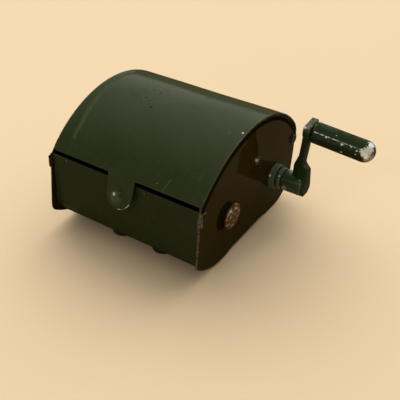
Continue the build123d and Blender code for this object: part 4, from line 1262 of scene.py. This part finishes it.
def plate_outline(cover, proud, lean, corner):
    """The outline of an end plate in y and z. cover is how far its top runs inside the lid's skin,
    proud how far its front edge stands before the panel at the top, lean how far at the bottom, and
    corner how far the lower front corner is cut back."""
    top_r = ARC_R - cover
    ear_reach = PLATE_BACK - hinge_at[1]
    ear_start = math.degrees(math.atan2(-math.sqrt(EAR_R**2 - ear_reach**2), ear_reach))
    top_end = math.degrees(math.acos((FRONT - ARC_Y) / top_r))
    nose = arc((ARC_Y, ARC_Z), top_r, top_end - 1.2, top_end, 2)
    belly = three_point_arc((FRONT - lean, 9.4), (-36.6, 3.3), (-25.0, PLATE_LOW), 24)
    front = [*nose, (FRONT - proud, nose[1, 1] - 1.3), belly[0], belly[6]]
    return np.concatenate(
        [
            arc((ARC_Y, ARC_Z), top_r, join_angle, top_end - 1.2, 90)[:-1],
            soften(front, [0, 1.2, 0.6, corner, 0], 5),
            belly[7:],
            [(-20.0, PLATE_LOW), (-15.0, FOOT_RELIEF), (15.0, FOOT_RELIEF), (20.0, PLATE_LOW)],
            arc((PLATE_BACK - PLATE_CORNER, PLATE_LOW + PLATE_CORNER), PLATE_CORNER, -90, 0, 30),
            arc(hinge_at[1:], EAR_R, ear_start, EAR_END, 24),
            arc(rear_centre, REAR_R - cover, 22, join_angle, 12)[:-1],
        ]
    )


for side, fit in PLATE_FIT.items():
    cad_node = f"{side}_end_plate"
    low, high = (v[0] for v in box_mm(cad_node))
    shell = prism(plate_outline(*fit), low, high, PLATE_FILLET, 620, PLATE_MIDDLE, PLATE_RINGS)
    build(f"{side}_plate", shell, "enamel_plate", "case", [cad_node], sharp=60)

# %% [markdown]
# ## Turned parts
# Rod, bolt, rivet, bush, collar and guide come off a lathe or a heading tool, so each is one
# profile carried round its axis. The corners of a profile are softened before it is turned, since
# an edge without a radius never catches the light.

# %% Turning
ALONG_X = (1, 0, 0)


def turn_piece(
    name, cad_node, finish, body, at, corners, direction=ALONG_X, ring=False, count=96, pitch=0.5
):
    """A turned piece in place of a CAD node. corners are (along the axis, radius, softness), and the
    axis passes through at. A ring's profile is closed, and any other runs from axis to axis."""
    corners = np.array(corners, float)
    line = soften(corners[:, :2], corners[:, 2], 4, ring)
    line = fine(np.concatenate([line, line[:1]]) if ring else line, pitch)
    inner = corners[:, :2] if ring else corners[1:-1, :2]
    shell = turned(line, at, direction, count, corners=inner[inner[:, 1] > 0.01])
    build(name, shell, finish, body, [cad_node], sharp=50)


def ends(cad_node):
    """Lowest and highest x of a CAD node, and the middle of its box on the plane x = 0."""
    low, high = box_mm(cad_node)
    return low[0], high[0], (0, *((low + high) / 2)[1:])


hinge_axis, shaft_axis = (0, *hinge_at[1:]), (0, *shaft_at[1:])

# %% Hinge rod
ROD_R, ROD_HEAD_R, ROD_HEAD = 1.75, 2.5, 1.1
low, high, _ = ends("hinge_rod")
turn_piece(
    "hinge_rod_headed", "hinge_rod", "enamel_plate", "case", hinge_axis,
    [
        (low, 0, 0), (low, ROD_HEAD_R, 0.9), (low + ROD_HEAD, ROD_HEAD_R, 0.1),
        (low + ROD_HEAD, ROD_R, 0.1), (high - ROD_HEAD, ROD_R, 0.1),
        (high - ROD_HEAD, ROD_HEAD_R, 0.1), (high, ROD_HEAD_R, 0.9), (high, 0, 0),
    ],
    count=64,
)

# %% Tie bolt
BOLT_R, BOLT_RIM, BOLT_CROWN = 2.5, 1.2, 1.75
low, high, at = ends("tie_bolt")
head_r = (box_mm("tie_bolt")[1] - box_mm("tie_bolt")[0])[1] / 2
turn_piece(
    "tie_bolt_headed", "tie_bolt", "rusty_steel", "case", at,
    [
        (low, 0, 0), (low, BOLT_R, 0.4), (right_skin, BOLT_R, 0), (right_skin, head_r, 0.15),
        (right_skin + BOLT_RIM, head_r, 0.45), (right_skin + BOLT_CROWN, 0.68 * head_r, 1.4),
        (high, 0.3 * head_r, 1.2), (high, 0, 0),
    ],
    count=120,
    pitch=0.35,
)

# %% Gear rivet
RIVET_R, RIVET_HEAD_R, RIVET_HEAD = 1.3, 2.1, 0.9
low, high, at = ends("gear_rivet")
turn_piece(
    "gear_rivet_headed", "gear_rivet", "enamel_plate", "case", at,
    [
        (low, 0, 0), (low, RIVET_HEAD_R, 0.8), (low + RIVET_HEAD, RIVET_HEAD_R, 0),
        (low + RIVET_HEAD, RIVET_R, 0), (right_skin, RIVET_R, 0), (right_skin, RIVET_HEAD_R, 0.1),
        (high - 0.1, RIVET_HEAD_R, 0.7), (high, 0.8, 0.4), (high, 0, 0),
    ],
    count=64,
    pitch=0.25,
)

# %% Bush and collar
BUSH_R, BUSH_NECK_R, BUSH_BORE_R = 6.2, 4.5, 3.05
COLLAR_R, COLLAR_BORE_R = 5.5, 3.0
low, high, _ = ends("bearing_bush")
turn_piece(
    "bearing_bush_turned", "bearing_bush", "enamel_small", "case", shaft_axis,
    [
        (low, BUSH_BORE_R, 0.2), (low, BUSH_NECK_R, 0.2), (right_skin, BUSH_NECK_R, 0),
        (right_skin, BUSH_R, 0.15), (high, BUSH_R, 0.5), (high, BUSH_BORE_R, 0.25),
    ],
    ring=True,
)
low, high, _ = ends("crank_collar")
turn_piece(
    "crank_collar_turned", "crank_collar", "enamel_small", "crank", shaft_axis,
    [
        (low, COLLAR_BORE_R, 0.1), (low, COLLAR_R, 0.5),
        (high, COLLAR_R, 0.5), (high, COLLAR_BORE_R, 0.1),
    ],
    ring=True,
    pitch=0.3,
)

# %% Pencil guide
GUIDE_FLANGE_R, GUIDE_R, PENCIL_R = 8.5, 5.9, 4.2
low, high, _ = ends("pencil_guide")
turn_piece(
    "pencil_guide_turned", "pencil_guide", "enamel_small", "case", shaft_axis,
    [
        (low, PENCIL_R, 0.7), (low, GUIDE_FLANGE_R, 1.2), (left_skin, GUIDE_FLANGE_R, 0.1),
        (left_skin, GUIDE_R, 0), (high, GUIDE_R, 0.3), (high, PENCIL_R, 0.3),
    ],
    ring=True,
)

# %% [markdown]
# ## The crank
# Hub, boss, arm and eye are one casting: where they meet, molten metal leaves a fillet. Separate
# shells would meet in sharp lines, so they are fused by remeshing them as one volume in cells of a
# fifth of a millimetre, and a little smoothing then rounds every corner at once. How far each point
# stands out of its neighbours afterwards tells the paint where the edges are.

# %% Shells of the casting
HUB_R, HUB_X0, HUB_X1, HUB_EDGE = 5.25, 44.3, 54.6, 0.3
LUG_X0, LUG_X1, LUG_HALF, LUG_DOWN, LUG_CUT = 51.0, 56.2, 4.6, 4.6, 2.1
LUG_TOP, LUG_SLOPE = 12.2, 2.8
ARM_X0, ARM_X1, ARM_HALF = 51.2, 54.6, 2.3
ROOT_X0, ROOT_X1, ROOT_TOP, FLARE_X, FLARE_TOP = 48.8, 53.4, 11.3, 50.6, 16.4
EYE_X0, EYE_X1, EYE_HALF, EYE_UP, EYE_SIDE, EYE_DOWN, EYE_SLOPE = 51.7, 55.1, 5.0, 4.2, 0.6, 5.4, 1.0


def crank_shells():
    """The closed shells of the casting: a turned hub, a lug that narrows from the shaft upwards, the
    arm as a bar that flares to its root, and a block with a sloping top for the handle's pin."""
    y, z = shaft_at[1:]
    top = handle_at[2]
    lug = [
        (y - LUG_HALF + LUG_CUT, z - LUG_DOWN), (y + LUG_HALF - LUG_CUT, z - LUG_DOWN),
        (y + LUG_HALF, z - LUG_DOWN + LUG_CUT), (y + LUG_HALF, z),
        (y + ARM_HALF, z + LUG_TOP - LUG_SLOPE), (y - ARM_HALF, z + LUG_TOP - LUG_SLOPE),
        (y - LUG_HALF, z), (y - LUG_HALF, z - LUG_DOWN + LUG_CUT),
    ]
    side = [
        (ROOT_X0, z), (LUG_X1, z), (LUG_X1, z + LUG_TOP - LUG_SLOPE), (ROOT_X1, z + LUG_TOP),
        (ARM_X1, top), (ARM_X0, top), (FLARE_X, z + FLARE_TOP), (ROOT_X0, z + ROOT_TOP),
    ]
    eye = [
        (y - ARM_HALF, top - EYE_DOWN), (y + ARM_HALF, top - EYE_DOWN),
        (y + EYE_HALF, top - EYE_SIDE), (y + EYE_HALF, top + EYE_UP),
        (y - EYE_HALF, top + EYE_UP - EYE_SLOPE), (y - EYE_HALF, top - EYE_SIDE),
    ]
    hub = [
        (HUB_X0, 0), (HUB_X0, HUB_R - HUB_EDGE), (HUB_X0 + HUB_EDGE, HUB_R),
        (HUB_X1, HUB_R), (HUB_X1, 0),
    ]
    arm, arm_faces, arm_rim = prism(soften(side, 0.4, 3, True), -ARM_HALF, ARM_HALF, 0.5, 200)
    # the arm's outline was drawn in x and z, so its prism takes a quarter turn about z
    arm = grid_points(arm[:, 1], y - arm[:, 0], arm[:, 2])
    return joined(
        [
            turned(fine(hub), (0, y, z)),
            prism(soften(lug, 0.5, 3, True), LUG_X0, LUG_X1, 0.5, 160),
            (arm, arm_faces, arm_rim),
            prism(soften(eye, 0.3, 3, True), EYE_X0, EYE_X1, 0.25, 120),
        ]
    )


# %% Crank arm
CELL, PASSES = 0.2, 5


def read(items, key, width, kind=float):
    """One property of all vertices or edges, as rows of width numbers."""
    out = np.empty(len(items) * width, kind)
    items.foreach_get(key, out)
    return out.reshape(-1, width)


def fused(name, shell):
    """Closed shells that overlap, remeshed as one volume and smoothed. The modifiers are applied, and
    the rim value comes from the shape: the mean of the neighbours lies behind a point that stands
    out, by more the sharper the edge is."""
    helper = show(bpy.data.objects.new(name, write_mesh(name, *shell)))
    modify(helper, "REMESH", mode="VOXEL", voxel_size=CELL * MM, adaptivity=0.0)
    modify(helper, "SMOOTH", factor=0.5, iterations=PASSES)
    graph = bpy.context.evaluated_depsgraph_get()
    mesh = bpy.data.meshes.new_from_object(helper.evaluated_get(graph))
    mesh.name = name
    bpy.data.objects.remove(helper)
    co, normal = read(mesh.vertices, "co", 3) / MM, read(mesh.vertices, "normal", 3)
    pairs = read(mesh.edges, "vertices", 2, int)
    a, b = np.concatenate([pairs, pairs[:, ::-1]]).T
    count = len(co)
    neighbours = np.bincount(a, minlength=count)
    out = np.bincount(a, -((co[b] - co[a]) * normal[a]).sum(1), count) / neighbours
    for _ in range(4):
        out = 0.5 * out + 0.5 * np.bincount(a, out[b], count) / neighbours
    sharp = np.clip(out / (0.45 * CELL), 0, 1)
    rim = mesh.attributes.get("rim") or mesh.attributes.new("rim", "FLOAT", "POINT")
    rim.data.foreach_set("value", (2.0 * (1 - sharp)).astype(np.float32))
    return mesh


mesh = fused("crank_casting", crank_shells())
place("crank_casting", mesh, "enamel_crank", "crank", ["crank_arm"], sharp=180)

# %% Cross pin
PIN_X, PIN_R, PIN_HEAD_R, PIN_OUT, PIN_IN = 46.7, 1.0, 1.35, 0.4, 0.4
PIN_TILT = math.radians(14.0)
pin_end, pin_neck = HUB_R + PIN_OUT, -HUB_R + PIN_IN
turn_piece(
    "cross_pin_turned", "cross_pin", "enamel_small", "crank", (PIN_X, *shaft_at[1:]),
    [
        (-pin_end, 0, 0), (-pin_end, PIN_HEAD_R, 0.3), (pin_neck, PIN_HEAD_R, 0), (pin_neck, PIN_R, 0),
        (pin_end, PIN_R, 0.3), (pin_end, 0, 0),
    ],
    direction=(0, math.cos(PIN_TILT), math.sin(PIN_TILT)),
    count=32,
)

# %% [markdown]
# ## The grip
# A hollow turned sleeve with a domed end, free to spin on a headed pin. Its near end is open, and the
# cavity behind it holds the pin and its bush. The dome is where the paint has worn through. One
# profile from the floor of the cavity, round the mouth and over the dome makes it a single closed
# shell, where a cylinder with a hole cut into it would leave ragged faces round the mouth.

# %% Grip
HANDLE_R, HANDLE_END, GRIP_GAP, CAVITY_R, CAVITY = 5.0, 30.0, 1.2, 3.4, 19.0
dome_at = HANDLE_END - HANDLE_R
sleeve = soften([(GRIP_GAP, CAVITY_R), (GRIP_GAP, HANDLE_R), (dome_at, HANDLE_R)], [0, 0.7, 0], 5)
cavity = [(GRIP_GAP + CAVITY, 0), (GRIP_GAP + CAVITY, CAVITY_R)]
section = fine(np.concatenate([cavity, sleeve, arc((dome_at, 0), HANDLE_R, 90, 0, 20)[1:]]), 0.4)
shell = turned(section, handle_at, handle_way, 120, corners=[(GRIP_GAP, HANDLE_R)])
build("handle_grip", shell, "enamel_handle", "grip", ["handle"], sharp=60)

# %% [markdown]
# ## The feet
# Four rubber discs, each with a neck that snaps into its hole in the bottom and a lip above it. The
# CAD model has them as one node, so one closed profile is turned at four places and joined.

# %% Feet
FOOT_R, SCREW_R, NECK_R, LIP_R, LIP_TOP_R = 5.0, 2.0, 3.1, 4.2, 3.4
FOOT_TOP, LIP_LOW, LIP_TOP = 2.8, 4.6, 5.8
foot = [
    (0, SCREW_R), (0, FOOT_R), (FOOT_TOP, FOOT_R - 0.1), (FOOT_TOP, NECK_R), (LIP_LOW, NECK_R),
    (LIP_LOW, LIP_R), (LIP_TOP, LIP_TOP_R), (LIP_TOP, SCREW_R),
]
ring = soften(foot, [0.3, 0.6, 0.5, 0, 0, 0.4, 0.4, 0.2], 4, True)
ring = fine(np.concatenate([ring, ring[:1]]), 0.6)
low, high = box_mm("rubber_feet")
feet = [
    turned(ring, (x, y, 0), (0, 0, 1), 64)
    for x in (low[0] + FOOT_R, high[0] - FOOT_R)
    for y in (low[1] + FOOT_R, high[1] - FOOT_R)
]
build("feet", joined(feet), "foot_rubber", "case", ["rubber_feet"], sharp=50)

# %% [markdown]
# ## Inside the case
# Gears, cutters, carrier, nuts and spacer show when the lid is open. Their shape in the CAD model is
# exact, so a copy of each is merged, its flat faces are joined, and a small bevel breaks its edges.

# %% Inner parts
# finish, body and width of the bevel in millimetres for each CAD node
CAD_MERGE = 1e-6  # metres
INNER = {
    "axle_lower": ("inner_steel", "crank", 0.1),
    "axle_upper": ("inner_steel", "crank", 0.1),
    "cutter_carrier": ("cast_grey", "crank", 0.15),
    "cutter_lower": ("cutter_steel", "lower_cutter", 0.04),
    "cutter_upper": ("cutter_steel", "upper_cutter", 0.04),
    "drive_shaft": ("inner_steel", "crank", 0.2),
    "bush_nut": ("inner_steel", "case", 0.2),
    "guide_nut": ("inner_steel", "case", 0.2),
    "handle_bush": ("inner_steel", "grip", 0.15),
    "handle_pin": ("inner_steel", "crank", 0.2),
    "ring_gear": ("cast_grey", "case", 0.12),
    "thrust_washer": ("brass_washer", "crank", 0.12),
    "tie_nut": ("rusty_steel", "case", 0.25),
    "tie_spacer": ("inner_steel", "case", 0.2),
    "tie_washer": ("rusty_steel", "case", 0.15),
}


def broken_edges(cad_node, finish, body, width):
    """A copy of a CAD node: its loose triangles merged, its flat faces joined, its edges bevelled."""
    name = cad_node + "_broken"
    work = bmesh.new()
    work.from_mesh(nodes[cad_node].data)
    bmesh.ops.remove_doubles(work, verts=work.verts, dist=CAD_MERGE)
    flat = math.radians(1.0)
    bmesh.ops.dissolve_limit(
        work, angle_limit=flat, verts=work.verts, edges=work.edges, use_dissolve_boundaries=False
    )
    mesh = bpy.data.meshes.new(name)
    work.to_mesh(mesh)
    work.free()
    piece = place(name, mesh, finish, body, [cad_node], sharp=30)
    corner = math.radians(38)
    modify(piece, "BEVEL", width=width * MM, segments=2, limit_method="ANGLE", angle_limit=corner)


for cad_node, made_of in INNER.items():
    broken_edges(cad_node, *made_of)
